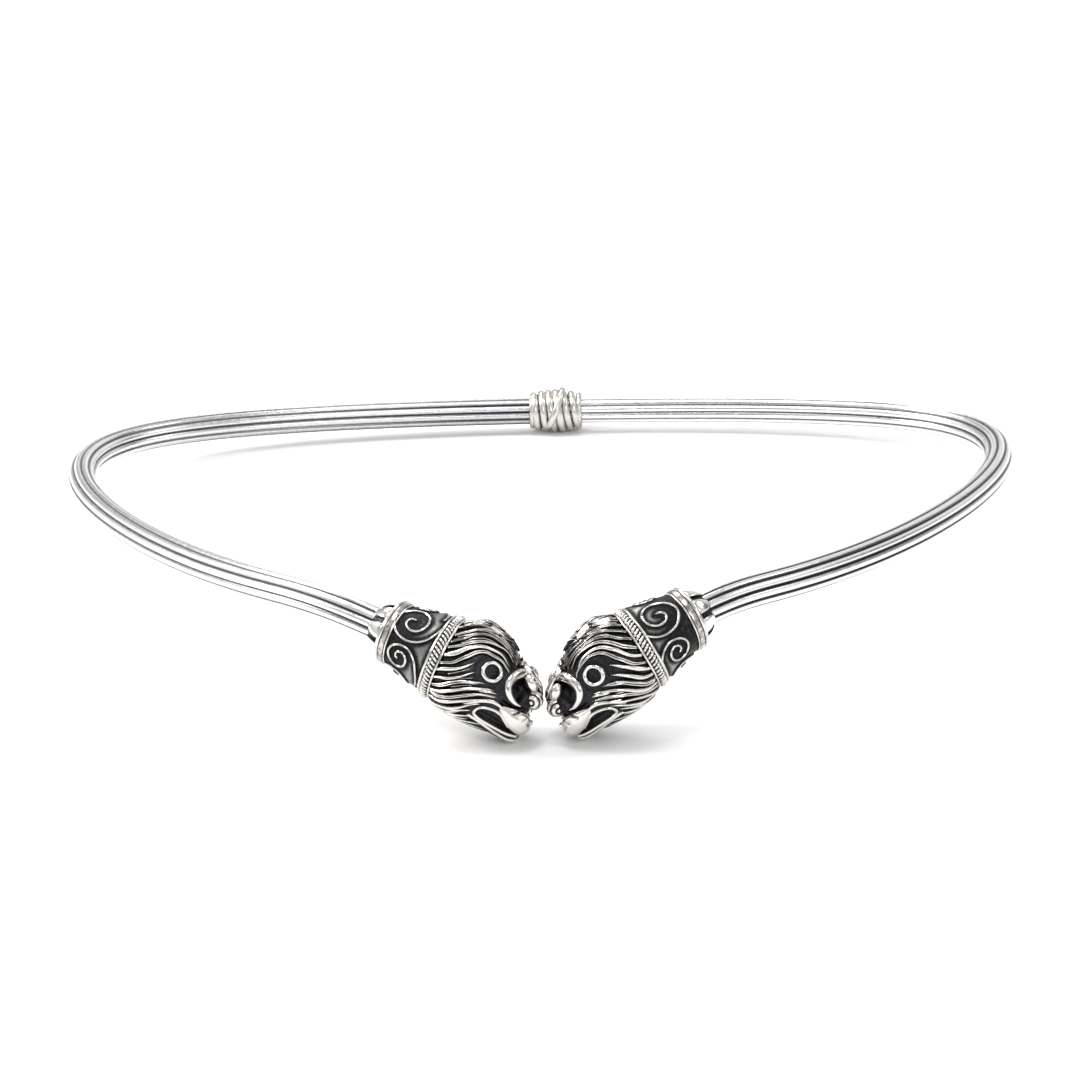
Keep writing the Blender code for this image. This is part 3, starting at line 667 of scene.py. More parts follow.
def add_rim(cast):
    """Polished ring at the cup, a flat worn band and a thin wire at the drum."""
    ring = circle(18)
    ring_worn = rise(np.abs(ring[:, 0]), 0.8, 0.98)
    across = np.linspace(-1.0, 1.0, 9)
    top = [(-1.0, -0.6)] + [(x, 1.0 - 0.18 * x ** 4) for x in across] + [(1.0, -0.6)]
    worn = np.concatenate(([1.0], rise(np.abs(across), 0.7, 0.98) * 0.55 + RIM_WEAR, [1.0]))
    for sizes, section, count in ((RIM_RING, (ring, ring_worn), 140),
                                  (RIM_BAND, (np.array(top), worn), 200),
                                  (RIM_WIRE, round_wire(12, -0.3, 0.4), 140)):
        back, drop, width, height = np.array(sizes) * MM
        path, normal = ring_path(COLLAR_END - back, RIM_RADIUS - drop, count)
        cast.sweep(path, normal, section, width, height, closed=True)


# Heads

# Sections from the nose on: share of the head's length, then half width, top and bottom as
# shares of its radius
HEAD_TABLE = np.array((
    (0.085, 0.4, 0.08, -0.84), (0.12, 0.5, 0.17, -1.03), (0.2, 0.6, 0.31, -1.07),
    (0.29, 0.68, 0.46, -1.055), (0.4, 0.78, 0.61, -1.03), (0.53, 0.89, 0.76, -0.99),
    (0.68, 0.955, 0.86, -0.97), (0.82, 0.955, 0.92, -0.94), (0.93, 0.9, 0.9, -0.9),
    (1.0, 0.84, 0.84, -0.84)))
FACE_START = HEAD_TABLE[0, 0]

EYE = (0.56, 37.0)  # share of the head's length, turn in degrees
EYE_RING = 1.12 * MM
EYE_WIRE = 0.25 * MM
EYE_LOOK = (1.6, 1.0, 0.85)  # how much of the skin's normal it follows each way
EYE_HOLE = (0.8 * MM, 1.05 * MM)  # radius where it is full and where it ends
EYE_DEPTH = 0.55 * MM
MOAT_INNER = (1.1 * MM, 1.35 * MM)  # radii between which the ground sinks, and rises again
MOAT_OUTER = (1.7 * MM, 2.2 * MM)
MOAT_DEPTH = 0.16 * MM
CAVITY = (3.2 * MM, 0.85 * MM)  # place along the head and up
CAVITY_REACH = (1.2 * MM, 1.65 * MM)
CAVITY_EDGE = (0.45, 1.0)
CAVITY_DEPTH = 1.1 * MM
CROWN_LIFT = 0.55 * MM
CROWN_TURN = (0.6, 0.95)  # sine of the turn where the crown starts and is full
CROWN_FRONT = (0.33, 0.46)  # likewise, share of the head's length
CROWN_REAR = (0.72, 0.98)
CORE_START = 0.125  # the nose and lips are pieces in front of it
CORE_WEAR = 0.9  # recess of the open skin
CORE_CUTS = (0.1 * MM, 0.35 * MM)  # depths of its cuts where the oxide starts and is full
CORE_NOSE = 0.4 * MM  # how far its front end bulges

# Mane: each lock by share of the head's length and turn in degrees, from the band to its tip
LOCKS = (
    ((1.0, 86), (0.85, 88), (0.65, 89), (0.46, 88)),
    ((1.0, 74), (0.9, 79), (0.75, 83), (0.6, 83), (0.45, 80)),
    ((1.0, 60), (0.9, 68), (0.78, 76), (0.66, 78), (0.53, 77), (0.43, 73)),
    ((1.0, 48), (0.9, 56), (0.79, 68), (0.67, 73), (0.54, 73), (0.43, 68)),
    ((1.0, 37), (0.92, 44), (0.84, 54), (0.77, 62), (0.66, 67), (0.54, 68), (0.44, 62)),
    ((1.0, 26), (0.92, 33), (0.84, 46), (0.76, 56), (0.66, 61), (0.55, 62), (0.45, 56)),
    ((1.0, 14), (0.9, 21), (0.82, 34), (0.755, 47), (0.68, 54), (0.57, 57), (0.46, 54),
     (0.42, 49)),
    ((1.0, 4), (0.91, 12), (0.82, 22), (0.725, 36)),
    ((1.0, -6), (0.9, 2), (0.8, 13), (0.69, 25)),
    ((1.0, -15), (0.89, -6), (0.78, 6), (0.67, 15), (0.6, 19)),
    ((1.0, -24), (0.87, -14), (0.75, -2), (0.63, 8), (0.49, 17)),
    ((1.0, -33), (0.87, -23), (0.74, -10), (0.59, 2), (0.43, 12)),
    ((1.0, -42), (0.87, -32), (0.74, -18), (0.6, -6), (0.42, 5)),
    ((1.0, -51), (0.86, -41), (0.73, -27), (0.64, -16), (0.54, -9)),
    ((1.0, -60), (0.86, -51), (0.74, -39), (0.65, -28)),
    ((1.0, -69), (0.85, -61), (0.72, -52), (0.6, -44)),
    ((1.0, -78), (0.85, -72), (0.7, -65), (0.55, -58), (0.42, -54)),
    ((1.0, -87), (0.82, -84), (0.62, -80), (0.45, -75)))
LOCK_WIDTH = 0.43 * MM  # half width
LOCK_HEIGHT = 0.62 * MM
THIN_LOCK = 0.13 * MM  # half width of the locks between them
LOCK_FLICK = 0.22 * MM  # how far a tip stands off the skin
# Short locks on the crown whose tips stand up, likewise
TUFTS = (((0.97, 81), (0.88, 84), (0.76, 87)), ((0.86, 71), (0.77, 79), (0.64, 82)),
         ((0.74, 86), (0.64, 87), (0.53, 85)), ((0.98, 93), (0.88, 93), (0.78, 92)),
         ((0.8, 93), (0.68, 93), (0.58, 92)))

EYE_ROW = 7  # of LOCKS, the first behind the eye: no thin lock lies before it
CROWN_LOCKS = 4  # of LOCKS, which are more oxidised
LOW_LOCKS = -50  # turn at the band below which the tips lie flat
TUFT_FLICK = 3.2 * LOCK_FLICK
WAVE = radians(1.6)  # how far a lock's line sways
# Thin locks under the eye and over the jaw, likewise
STRANDS = (((0.8, 4), (0.68, 14), (0.56, 19)), ((0.78, -3), (0.64, 9), (0.47, 18)),
           ((0.72, -6), (0.58, 5), (0.44, 10)), ((0.66, -9), (0.54, -1), (0.43, 3)),
           ((0.6, 8), (0.52, 13), (0.44, 16)),
           ((0.88, -50), (0.76, -37), (0.66, -27), (0.6, -24)),
           ((0.88, -60), (0.74, -47), (0.64, -37), (0.57, -32)),
           ((0.84, -68), (0.7, -57), (0.58, -48), (0.46, -42)),
           ((0.78, -76), (0.62, -67), (0.48, -60), (0.36, -56)))

# Loop of the mouth, by share of the head's length and height as a share of its radius
MOUTH = ((0.13, -0.775), (0.246, -0.75), (0.334, -0.7), (0.417, -0.645), (0.511, -0.572),
         (0.565, -0.475), (0.55, -0.335), (0.5, -0.278), (0.415, -0.285), (0.342, -0.353),
         (0.296, -0.45), (0.235, -0.58))
MOUTH_DEPTH = 0.75 * MM
MOUTH_EDGE = 0.35 * MM
MOUTH_BAR = (0.2 * MM, 0.27 * MM, 0.05 * MM)  # half width, height and how far off the skin
# Fold over the mouth, likewise
FOLD = ((0.68, -0.36), (0.62, -0.25), (0.547, -0.145), (0.474, -0.115), (0.415, -0.14),
        (0.358, -0.2), (0.31, -0.27))
FOLD_BAR = (0.3 * MM, 0.36 * MM, 0.03 * MM)
# Cut between the nose and the lip, likewise
LIP_CUT = ((0.07, -0.16), (0.16, -0.19), (0.27, -0.17), (0.36, -0.1))
LIP_CUT_EDGE = (0.1 * MM, 0.45 * MM)
LIP_CUT_DEPTH = 0.45 * MM
# Lobe of the lip, likewise, with its half width as a share of LIP_WIDTH
LIP = ((0.37, -0.205, 0.22), (0.33, -0.245, 0.42), (0.27, -0.31, 0.7), (0.2, -0.395, 0.95),
       (0.145, -0.46, 1.0), (0.095, -0.52, 0.96), (0.055, -0.57, 0.8))
LIP_WIDTH = 1.34 * MM
LIP_HEIGHT = 0.8 * MM
LIP_SINK = -0.05 * MM
LIP_CREASES = ((0.32, 0.04, 0.7), (0.55, 0.05, 0.45))  # share of its length, width, oxide
CREASE_SLANT = 0.1
CREASE_CUT = 0.16  # of the height
LIP_DENT = 0.16  # of the height, along its upper side
# Ring of the cheek by share of the head's length, turn in degrees and share of CHEEK_WIDTH
CHEEK = ((0.24, 88, 0.7), (0.268, 79, 0.92), (0.325, 65, 1.0), (0.375, 48, 0.86),
         (0.381, 34, 0.72), (0.337, 24.5, 0.6), (0.27, 20.5, 0.42), (0.205, 22.5, 0.14))
CHEEK_WIDTH = 0.66 * MM
CHEEK_HEIGHT = 0.58 * MM
CHEEK_LIFT = 0.06 * MM
# Wire along the jaw by share of the head's length and turn in degrees
JAW = ((0.62, -33), (0.5, -37), (0.4, -42), (0.28, -49), (0.18, -53), (0.12, -55))
JAW_BAR = (0.24 * MM, 0.26 * MM, 0.03 * MM)  # half width, height and how far off the skin
# Spikes of the brow and teeth under the lip: place of the base and of the tip, each along,
# outwards and up in millimetres
BROW = (((4.9, 0.2, 3.3), (4.85, 0.3, 4.1)), ((4.5, 0.8, 3.2), (4.4, 1.0, 3.95)),
        ((4.1, 0.3, 3.0), (3.85, 0.35, 3.7)), ((4.0, 1.2, 2.7), (3.6, 1.45, 3.3)),
        ((4.9, 1.5, 3.2), (4.9, 1.8, 3.85)), ((4.5, 1.9, 2.8), (4.45, 2.25, 3.4)))
TEETH = (((2.7, 2.9, -3.9), (2.55, 2.8, -4.55)), ((2.1, 2.6, -4.1), (1.95, 2.5, -4.7)))
BROW_WIDTH = 0.34 * MM
TOOTH_WIDTH = 0.2 * MM
# Rounded masses: middle and radii, each along, outwards and up in millimetres
LIP_FRONT = ((1.65, 1.2, -2.85), (0.95, 1.25, 1.25))
LIP_FRONT_WEAR = 0.15
CHIN = ((2.35, 0.0, -5.45), (1.25, 2.1, 1.13))
BRIDGE = ((2.35, 1.6, 1.8), (1.22, 0.8, 0.9))
NOSTRIL = ((1.3, 1.3, -0.2), (1.22, 1.22, 1.22))
# Ridge of the nose from the brow to its tip, likewise
RIDGE = ((4.4, 0.0, 3.3), (3.2, 0.0, 2.78), (2.2, 0.0, 2.15), (1.35, 0.0, 1.4),
         (0.75, 0.0, 0.75))
RIDGE_BAR = (0.62 * MM, 0.55 * MM)  # half width and height
RIDGE_SIZE = ((0.0, 0.3, 0.75, 1.0), (0.3, 0.85, 1.0, 0.7))  # share of its length, size there
RIDGE_SHIFT = 0.6  # of NOSE_SHIFT
NOSE_SHIFT = {1: (-0.2 * MM, 0.0, -0.4 * MM), -1: (0.02 * MM, 0.0, 0.15 * MM)}
NOSE_LINES = (0.34, 1.02)  # angles of the grooves round each nostril
NOSE_LINE = 0.12  # their width
NOSE_CUT = 0.16  # of the radius


def head_sizes(share):
    """Half width, middle height and half height of the head's section."""
    fine = np.linspace(FACE_START, 1.0, 401)
    sizes = []
    for column in (1, 2, 3):
        values = np.interp(fine, HEAD_TABLE[:, 0], HEAD_TABLE[:, column])
        sizes.append(np.interp(share, fine, smooth(values, 15)) * HEAD_RADIUS)
    wide, top, low = sizes
    return wide, (top + low) / 2, (top - low) / 2


def plain_skin(share, turn):
    wide, middle, tall = head_sizes(share)
    return np.stack((HEAD_START + share * HEAD_LENGTH, wide * np.cos(turn),
                     middle + tall * np.sin(turn)), -1)


def skin_normal(surface, share, turn):
    step = 0.002
    one = surface(share + step, turn) - surface(share - step, turn)
    two = surface(share, turn + step * 4) - surface(share, turn - step * 4)
    normal = unit(np.cross(one, two))
    sign = np.sign(np.sum(normal * polar(0.0, 1.0, turn), -1, keepdims=True))
    return normal * np.where(sign == 0, 1, sign)


def turn_at(share, height):
    """Turn of the point of the skin at a height, on the outer side."""
    wide, middle, tall = head_sizes(share)
    return np.arcsin(np.clip((height - middle) / tall, -1.0, 1.0))


def side_line(table, count):
    """Smooth line on the side of the head from shares of its length and radius."""
    rows = spline(table, count)
    return rows[:, 0], turn_at(rows[:, 0], rows[:, 1] * HEAD_RADIUS)


def skin_path(share, turn, lift):
    """Points over the plain skin, and its normals."""
    normal = skin_normal(plain_skin, share, turn)
    return plain_skin(share, turn) + normal * lift, normal


def inside(polygon, x, y):
    """Which points lie inside a polygon of shares."""
    found = np.zeros(x.shape, bool)
    for (x1, y1), (x2, y2) in zip(polygon, polygon[1:] + polygon[:1]):
        crosses = (y1 > y) != (y2 > y)
        reach = (x2 - x1) * (y - y1) / (y2 - y1 + 1e-12) + x1
        found ^= crosses & (x < reach)
    return found


def gap_to_line(points, line):
    """Distance from each point to a line of points."""
    flat = points.reshape(-1, 3)
    best = np.full(len(flat), 1.0)
    for place in line:
        best = np.minimum(best, np.linalg.norm(flat - place, axis=1))
    return best.reshape(points.shape[:-1])


def eye_lift(mirrored):
    """The hole inside the ring and the sunk ground round it."""
    eye = plain_skin(np.array(EYE[0]), radians(EYE[1]))
    gap = np.linalg.norm(mirrored - eye, axis=-1)
    moat = rise(gap, *MOAT_INNER) * (1 - rise(gap, *MOAT_OUTER))
    return -EYE_DEPTH * (1 - rise(gap, *EYE_HOLE)) - MOAT_DEPTH * moat


def cavity_lift(places):
    """The hollow inside the ring of the cheek."""
    gap = np.hypot((places[..., 0] - CAVITY[0]) / CAVITY_REACH[0],
                   (places[..., 2] - CAVITY[1]) / CAVITY_REACH[1])
    return -CAVITY_DEPTH * (1 - rise(gap, *CAVITY_EDGE))


def mouth_lift(share, turn, mirrored):
    """The hollow inside the mouth's loop."""
    wide, middle, tall = head_sizes(share)
    height = (middle + tall * np.sin(turn)) / HEAD_RADIUS
    loop = spline(MOUTH + MOUTH[:1], 60)
    line = plain_skin(loop[:, 0], turn_at(loop[:, 0], loop[:, 1] * HEAD_RADIUS))
    within = inside([tuple(p) for p in loop], share, height)
    depth = rise(gap_to_line(mirrored, line), 0.0, MOUTH_EDGE)
    return -MOUTH_DEPTH * np.where(within, depth, 0.0)


def relief(share, turn):
    """How far the skin is raised or cut, by place on it. Both sides are alike."""
    places = plain_skin(share, turn)
    mirrored = places * np.where(places[..., 1:2] < 0, np.array((1, -1, 1)), 1)
    lift = eye_lift(mirrored) + cavity_lift(places) + mouth_lift(share, turn, mirrored)
    gap = gap_to_line(mirrored, plain_skin(*side_line(LIP_CUT, 30)))
    lift = lift - LIP_CUT_DEPTH * (1 - rise(gap, *LIP_CUT_EDGE))
    crown = rise(np.sin(turn), *CROWN_TURN) * rise(share, *CROWN_FRONT)
    return lift + CROWN_LIFT * crown * (1 - rise(share, *CROWN_REAR))


def skin(share, turn):
    places = plain_skin(share, turn)
    return places + skin_normal(plain_skin, share, turn) * relief(share, turn)[..., None]


def add_core(cast):
    """The carved ground of the head, closed at both ends."""
    front = CORE_START + (1 - CORE_START) * shares(150) ** 1.25
    share, turns = np.meshgrid(front, full_turn(220), indexing="ij")
    rows = skin(share, turns)
    middle = rows[0].mean(0)
    nose = []
    for size in (0.25, 0.5, 0.72, 0.88, 0.97):
        ring = middle + (rows[0] - middle) * size
        ring[:, 0] -= CORE_NOSE * sqrt(1 - size ** 2)
        nose.append(ring)
    worn = CORE_WEAR + (1 - CORE_WEAR) * rise(-relief(share, turns), *CORE_CUTS)
    worn = np.concatenate((np.ones((len(nose), rows.shape[1])), worn))
    cast.grid(np.concatenate((np.array(nose), rows)), worn)


def lock_line(table, start, end, count):
    """Part of a lock's line, between two shares of its length."""
    rows = spline([(share, radians(turn)) for share, turn in table], 80)
    t = np.linspace(start, end, count) * 79
    return np.stack([np.interp(t, np.arange(80), rows[:, k]) for k in (0, 1)], -1)


def add_lock(cast, rows, side, width, height, profile, swell, flick=0.0):
    """One lock of the mane along a line on the skin. swell is where it is widest, and flick
    how far its tip stands off."""
    share, turn = rows[:, 0], rows[:, 1]
    path = skin(np.minimum(share, 0.999), turn)
    normal = skin_normal(skin, np.minimum(share, 0.99), turn)
    t = shares(len(path))
    path = path + normal * (flick * t ** 5)[:, None]
    grow = 0.62 + 0.38 * rise(t, 0.0, max(swell, 0.05))
    fall = 0.8 * (1 - t ** 2.2) + 0.2 * (1 - t ** 10)
    size = np.maximum(grow * fall, 0.05)
    cast.sweep(path, normal, profile, width * size, height * (0.1 + 0.9 * size), side=side)


def add_mane(cast, side, seed):
    """Long locks from the band to the face, tufts, strands, and thin locks between some of
    the long ones."""
    rng = np.random.default_rng(seed)
    profiles = [lock_profile(lines, lean, 0.45, 0.56) for lines, lean in
                ((0, 0.3), (1, -0.1), (0, -0.3), (0, 0.2), (1, 0.25))]
    crown = lock_profile(1, 0.2, 0.55, 0.76)
    thin = lock_profile(0, 0.0, 0.0, 0.8)
    for i, table in enumerate(LOCKS):
        rows = lock_line(table, 0.0, 1.0, 36)
        wave = np.sin(np.linspace(0.0, rng.uniform(4.0, 8.0), len(rows)) + rng.uniform(0.0, 6.0))
        rows[:, 1] += WAVE * wave
        size = rng.uniform(0.8, 1.2)
        flick = LOCK_FLICK * rng.uniform(0.2, 1.0) * (table[0][1] > LOW_LOCKS)
        add_lock(cast, rows, side, LOCK_WIDTH * size, LOCK_HEIGHT * rng.uniform(0.85, 1.15),
                 crown if i < CROWN_LOCKS else profiles[i % len(profiles)],
                 rng.uniform(0.05, 0.55), flick)
    for table in TUFTS:
        rows = lock_line(table, 0.0, 1.0, 24)
        add_lock(cast, rows, side, LOCK_WIDTH, LOCK_HEIGHT, crown, 0.5, TUFT_FLICK)
    for table in STRANDS:
        rows = lock_line(table, 0.0, 1.0, 24)
        add_lock(cast, rows, side, 2.2 * THIN_LOCK, LOCK_HEIGHT * 0.8, profiles[3], 0.4)
    for i in range(1, len(LOCKS)):
        start, end = rng.uniform(0.0, 0.4), rng.uniform(0.6, 0.92)
        if rng.uniform() < 0.45 or i == EYE_ROW:
            continue
        rows = (lock_line(LOCKS[i - 1], start, end, 24) + lock_line(LOCKS[i], start, end, 24)) / 2
        add_lock(cast, rows, side, THIN_LOCK * rng.uniform(0.8, 1.25), LOCK_HEIGHT * 0.45, thin,
                 rng.uniform(0.1, 0.5))


def add_eye(cast, side):
    """Ring of the eye, which looks a little forwards."""
    share, turn = np.array(EYE[0]), np.array(radians(EYE[1]))
    look = unit(skin_normal(plain_skin, share, turn) * np.array(EYE_LOOK))
    across = unit(np.cross(look, (1.0, 0.0, 0.0)))
    level = np.cross(look, across)
    turns = full_turn(56)[:, None]
    ring = plain_skin(share, turn) + (across * np.cos(turns) + level * np.sin(turns)) * EYE_RING
    cast.sweep(ring + look * 0.05 * MM, np.broadcast_to(look, ring.shape),
               round_wire(14, -0.1, 0.5), EYE_WIRE, EYE_WIRE * 1.25, closed=True, side=side)


def round_ends(count, first=0.08, last=0.08):
    """Shares of width that give a bar rounded ends."""
    t = shares(count)
    start = np.sqrt(np.clip(1 - (1 - t / first).clip(0.0, 1.0) ** 2, 0.0, 1.0))
    end = np.sqrt(np.clip(1 - (1 - (1 - t) / last).clip(0.0, 1.0) ** 2, 0.0, 1.0))
    return np.maximum(start * end, 0.05)


def add_bar(cast, line, side, sizes, taper):
    """Rounded bar on the side of the head along a line of shares and turns."""
    width, height, lift = sizes
    path, normal = skin_path(*line, lift)
    wide, tall = taper
    cast.sweep(path, normal, round_wire(14, 0.0, 0.6), width * wide, height * tall, side=side)


def add_cheek(cast, side):
    """Broad ring round the cavity of the cheek, open towards the nose."""
    rows = spline(CHEEK, 72)
    path, normal = skin_path(rows[:, 0], np.radians(rows[:, 1]), CHEEK_LIFT)
    size = rows[:, 2] * round_ends(72, 0.1, 0.04)
    cast.sweep(path, normal, round_wire(20, -0.05, 0.45), CHEEK_WIDTH * size,
               CHEEK_HEIGHT * (0.35 + 0.65 * size), side=side)


def add_lip(cast, side):
    """Full upper lip, a drop that starts thin at the cheek, with dark creases across it."""
    rows = spline(LIP, 60)
    turn = turn_at(rows[:, 0], rows[:, 1] * HEAD_RADIUS)
    path, normal = skin_path(rows[:, 0], turn, LIP_SINK)
    size = rows[:, 2] * round_ends(60, 0.05, 0.14)
    section, worn = round_wire(36, 0.0, 0.45)
    dent = np.exp(-((section[:, 0] + 0.45) / 0.22) ** 2) * (section[:, 1] > 0)
    section = section * (1 - LIP_DENT * dent)[:, None]
    t = shares(60)[:, None] + CREASE_SLANT * section[None, :, 0]
    upper = rise(-section[None, :, 0], -0.35, 0.65)
    crease = sum(oxide * np.exp(-((t - place) / width) ** 2)
                 for place, width, oxide in LIP_CREASES) * upper
    tall = LIP_HEIGHT * (size ** 0.8)[:, None] * (1 - CREASE_CUT * crease)
    across = unit(np.cross(unit(np.gradient(path, axis=0)), normal))
    wide = (section[:, 0] * LIP_WIDTH)[None, :, None] * size[:, None, None]
    rows = path[:, None, :] + across[:, None, :] * wide
    rows = rows + normal[:, None, :] * (section[None, :, 1] * tall)[:, :, None]
    cast.grid(mirror(rows, side), np.clip(worn[None, :] + crease, 0.0, 1.0))


def add_spike(cast, base, tip, side, width):
    """Small pointed tuft between two places in millimetres."""
    share = shares(7)[:, None]
    path = (np.array(base) * (1 - share) + np.array(tip) * share) * MM
    size = 1 - 0.86 * share[:, 0] ** 1.7
    worn = np.broadcast_to(0.95 - 0.5 * share, (7, 10))
    normal = np.broadcast_to((0.9, 0.3, 0.1), path.shape)
    cast.sweep(path, normal, (circle(10), worn), width * size, width * size * 0.8, side=side)


def add_face(cast, side):
    """Cheek ring, lips, mouth, fold, jaw wire, brow and teeth of one side."""
    add_cheek(cast, side)
    add_lip(cast, side)
    add_bar(cast, side_line(MOUTH, 90), side, MOUTH_BAR, (1.0, 1.0))
    swell = 0.35 + 0.65 * np.sin(pi * shares(60) ** 0.8)
    add_bar(cast, side_line(FOLD, 60), side, FOLD_BAR, (swell, swell))
    rows = spline(JAW, 50)
    add_bar(cast, (rows[:, 0], np.radians(rows[:, 1])), side, JAW_BAR, (round_ends(50), 1.0))
    middle, radii = np.array(LIP_FRONT) * MM
    cast.blob(mirror(middle, side), radii, LIP_FRONT_WEAR, None, 20, 28)
    for spikes, width in ((BROW, BROW_WIDTH), (TEETH, TOOTH_WIDTH)):
        for base, tip in spikes:
            add_spike(cast, base, tip, side, width)


def nose_lines(turn):
    return sum(np.exp(-((turn - line) / NOSE_LINE) ** 2) for line in NOSE_LINES)


def nose_shape(ball):
    """Cuts rings round the first direction of a ball."""
    return ball * (1 - NOSE_CUT * nose_lines(np.arccos(np.clip(ball[..., 0:1], -1.0, 1.0))))


def nose_worn(ball):
    """Recess of the nose: its grooves and the nostril are oxidised."""
    turn = np.arccos(np.clip(ball[..., 0] / np.linalg.norm(ball, axis=-1), -1.0, 1.0))
    return np.clip(nose_lines(turn) + rise(turn, 1.9, 2.3), 0.0, 1.0)


def bridge_worn(ball):
    """Recess of a lobe of the bridge, polished towards its third direction."""
    return 1 - rise(ball[..., 2], -0.35, 0.15)


def directions(first, third):
    """Three directions at right angles, as rows, from the first and about the third."""
    first = unit(np.array(first))
    second = unit(np.cross(third, first))
    return np.array((first, second, np.cross(first, second)))


def add_nose(cast, arm):
    """Ridge, a lobe of the bridge on each side of it, and a ball with a nostril on each."""
    shift = np.array(NOSE_SHIFT[arm.side])
    size = np.interp(shares(30), *RIDGE_SIZE)
    cast.sweep(spline(RIDGE, 30) * MM + shift * RIDGE_SHIFT,
               np.broadcast_to((-0.6, 0.0, 0.8), (30, 3)), round_wire(16, -0.5, 0.1),
               RIDGE_BAR[0] * size, RIDGE_BAR[1] * size)
    for side in (1, -1):
        axes = directions((0.64, 0.15 * side, 0.75), (-0.5, 0.75 * side, 0.35))
        middle, radii = np.array(BRIDGE) * MM
        cast.blob(mirror(middle, side) + shift, radii, bridge_worn, axes, 24, 32)
        axes = directions((0.25, 0.95 * side, -0.12), (0.0, 0.0, 1.0))
        middle, radii = np.array(NOSTRIL) * MM
        cast.blob(mirror(middle, side) + shift, radii, nose_worn, axes, 44, 40, nose_shape)


def chin_worn(ball):
    return rise(ball[..., 2], -0.3, 0.2)


def add_chin(cast):
    """Lower jaw behind the lips, down to where the head rests."""
    middle, radii = np.array(CHIN) * MM
    cast.blob(middle, radii, chin_worn, None, 24, 36)


def make_head(arm, mat):
    head = Casting()
    add_core(head)
    add_nose(head, arm)
    add_chin(head)
    for side in (1, -1):
        add_mane(head, side, 11 + side * arm.side)
        add_eye(head, side)
        add_face(head, side)
    item = head.make("carved_head_" + arm.tag, mat, arm)
    place_piece(item, "lion_head_" + arm.tag)


# Binding

def binding_radius(share):
    """Distance of the wire's middle from the tube's, by share of half the binding."""
    bulge = BINDING_BULGE * (1 - np.abs(share) ** 2.2)
    return TUBE_RADIUS + BINDING_WIRE * BINDING_FIT + bulge


def add_turns(binding, half, section):
    """Close slanted turns of the wire, thinner towards the ends."""
    steps = (BINDING_TURNS - 1) * 48
    turn = np.linspace(0.0, 2 * pi * (BINDING_TURNS - 1), steps + 1)
    share = np.linspace(-1.0, 1.0, steps + 1)
    slant = BINDING_SLANT * (0.55 + 0.45 * np.sin(2.3 * share + 0.6))
    path = polar(half * share + slant * np.sin(turn), binding_radius(share), turn)
    full = 1 - 0.28 * np.abs(share) ** 3 + 0.07 * np.sin(7.0 * share + 1.0)
    size = BINDING_WIRE * BINDING_ROUND * full
    binding.sweep(path, polar(0.0, 1.0, turn), section, size, size)


def add_crossing(binding, half, section):
    """The turn that is laid across the others where it shows, and passes below elsewhere."""
    middle, reach, ahead = CROSSING
    turn = full_turn(90)
    across = middle + reach * np.cos(turn + ahead)
    over = rise(np.sin(turn - 0.6), -0.5, 0.4)
    rest = binding_radius(across) - BINDING_SINK + (BINDING_SINK + CROSSING_RISE) * over
    binding.sweep(polar(half * across, rest, turn), polar(0.0, 1.0, turn), section,
                  CROSSING_WIRE / 2, CROSSING_WIRE / 2, closed=True)


def make_binding(arm, mat):
    """Turns of round wire, fuller in the middle, with a ring at each end and one turn laid
    across them."""
    centre = arm.centre(np.array([arm.length]))[0] + np.array((0.0, 0.0, BINDING_LIFT))
    binding = Casting()
    half = (BINDING_TURNS - 1) * BINDING_WIRE / 2
    section = round_wire(16, -0.35, 0.45)
    add_turns(binding, half, section)
    for end in (-1.0, 1.0):
        path, normal = ring_path(end * half, binding_radius(1.0) - 0.06 * MM, 90)
        size = BINDING_WIRE * BINDING_END
        binding.sweep(path, normal, section, size, size, closed=True)
    add_crossing(binding, half, section)
    place_piece(binding.make("binding_wire", mat, move=centre), "back_binding")


# Camera and studio

CAMERA_TURN = radians(1.23)
CAMERA_RISE = radians(21.0)
CAMERA_ROLL = radians(-1.477)
CAMERA_FAR = 480.0 * MM
FRAME_PIXELS = 1080
FOCAL_PIXELS = 7180.0 * CAMERA_FAR
MIDDLE_PIXEL = (551.6, 567.3)


def make_camera(shift):
    back = Vector((sin(CAMERA_TURN) * cos(CAMERA_RISE),
                   -cos(CAMERA_TURN) * cos(CAMERA_RISE), sin(CAMERA_RISE)))
    level = Vector((cos(CAMERA_TURN), sin(CAMERA_TURN), 0.0))
    up = back.cross(level)
    right = level * cos(CAMERA_ROLL) + up * sin(CAMERA_ROLL)
    up = up * cos(CAMERA_ROLL) - level * sin(CAMERA_ROLL)
    data = bpy.data.cameras.new("camera")
    data.sensor_width = 36.0
    data.lens = FOCAL_PIXELS / FRAME_PIXELS * data.sensor_width
    data.shift_x = (FRAME_PIXELS / 2 - MIDDLE_PIXEL[0]) / FRAME_PIXELS
    data.shift_y = (MIDDLE_PIXEL[1] - FRAME_PIXELS / 2) / FRAME_PIXELS
    data.clip_start = 0.01
    data.clip_end = 50.0
    item = add_object("camera", data)
    turned = Matrix((right, up, back)).transposed().to_4x4()
    place = back * CAMERA_FAR + Vector((shift[0], shift[1], 0.0))
    item.matrix_world = Matrix.Translation(place) @ turned
    bpy.context.scene.camera = item


FLOOR_HALF = 3.0
FLOOR_WHITE = 0.93
FLOOR_ROUGHNESS = 0.9


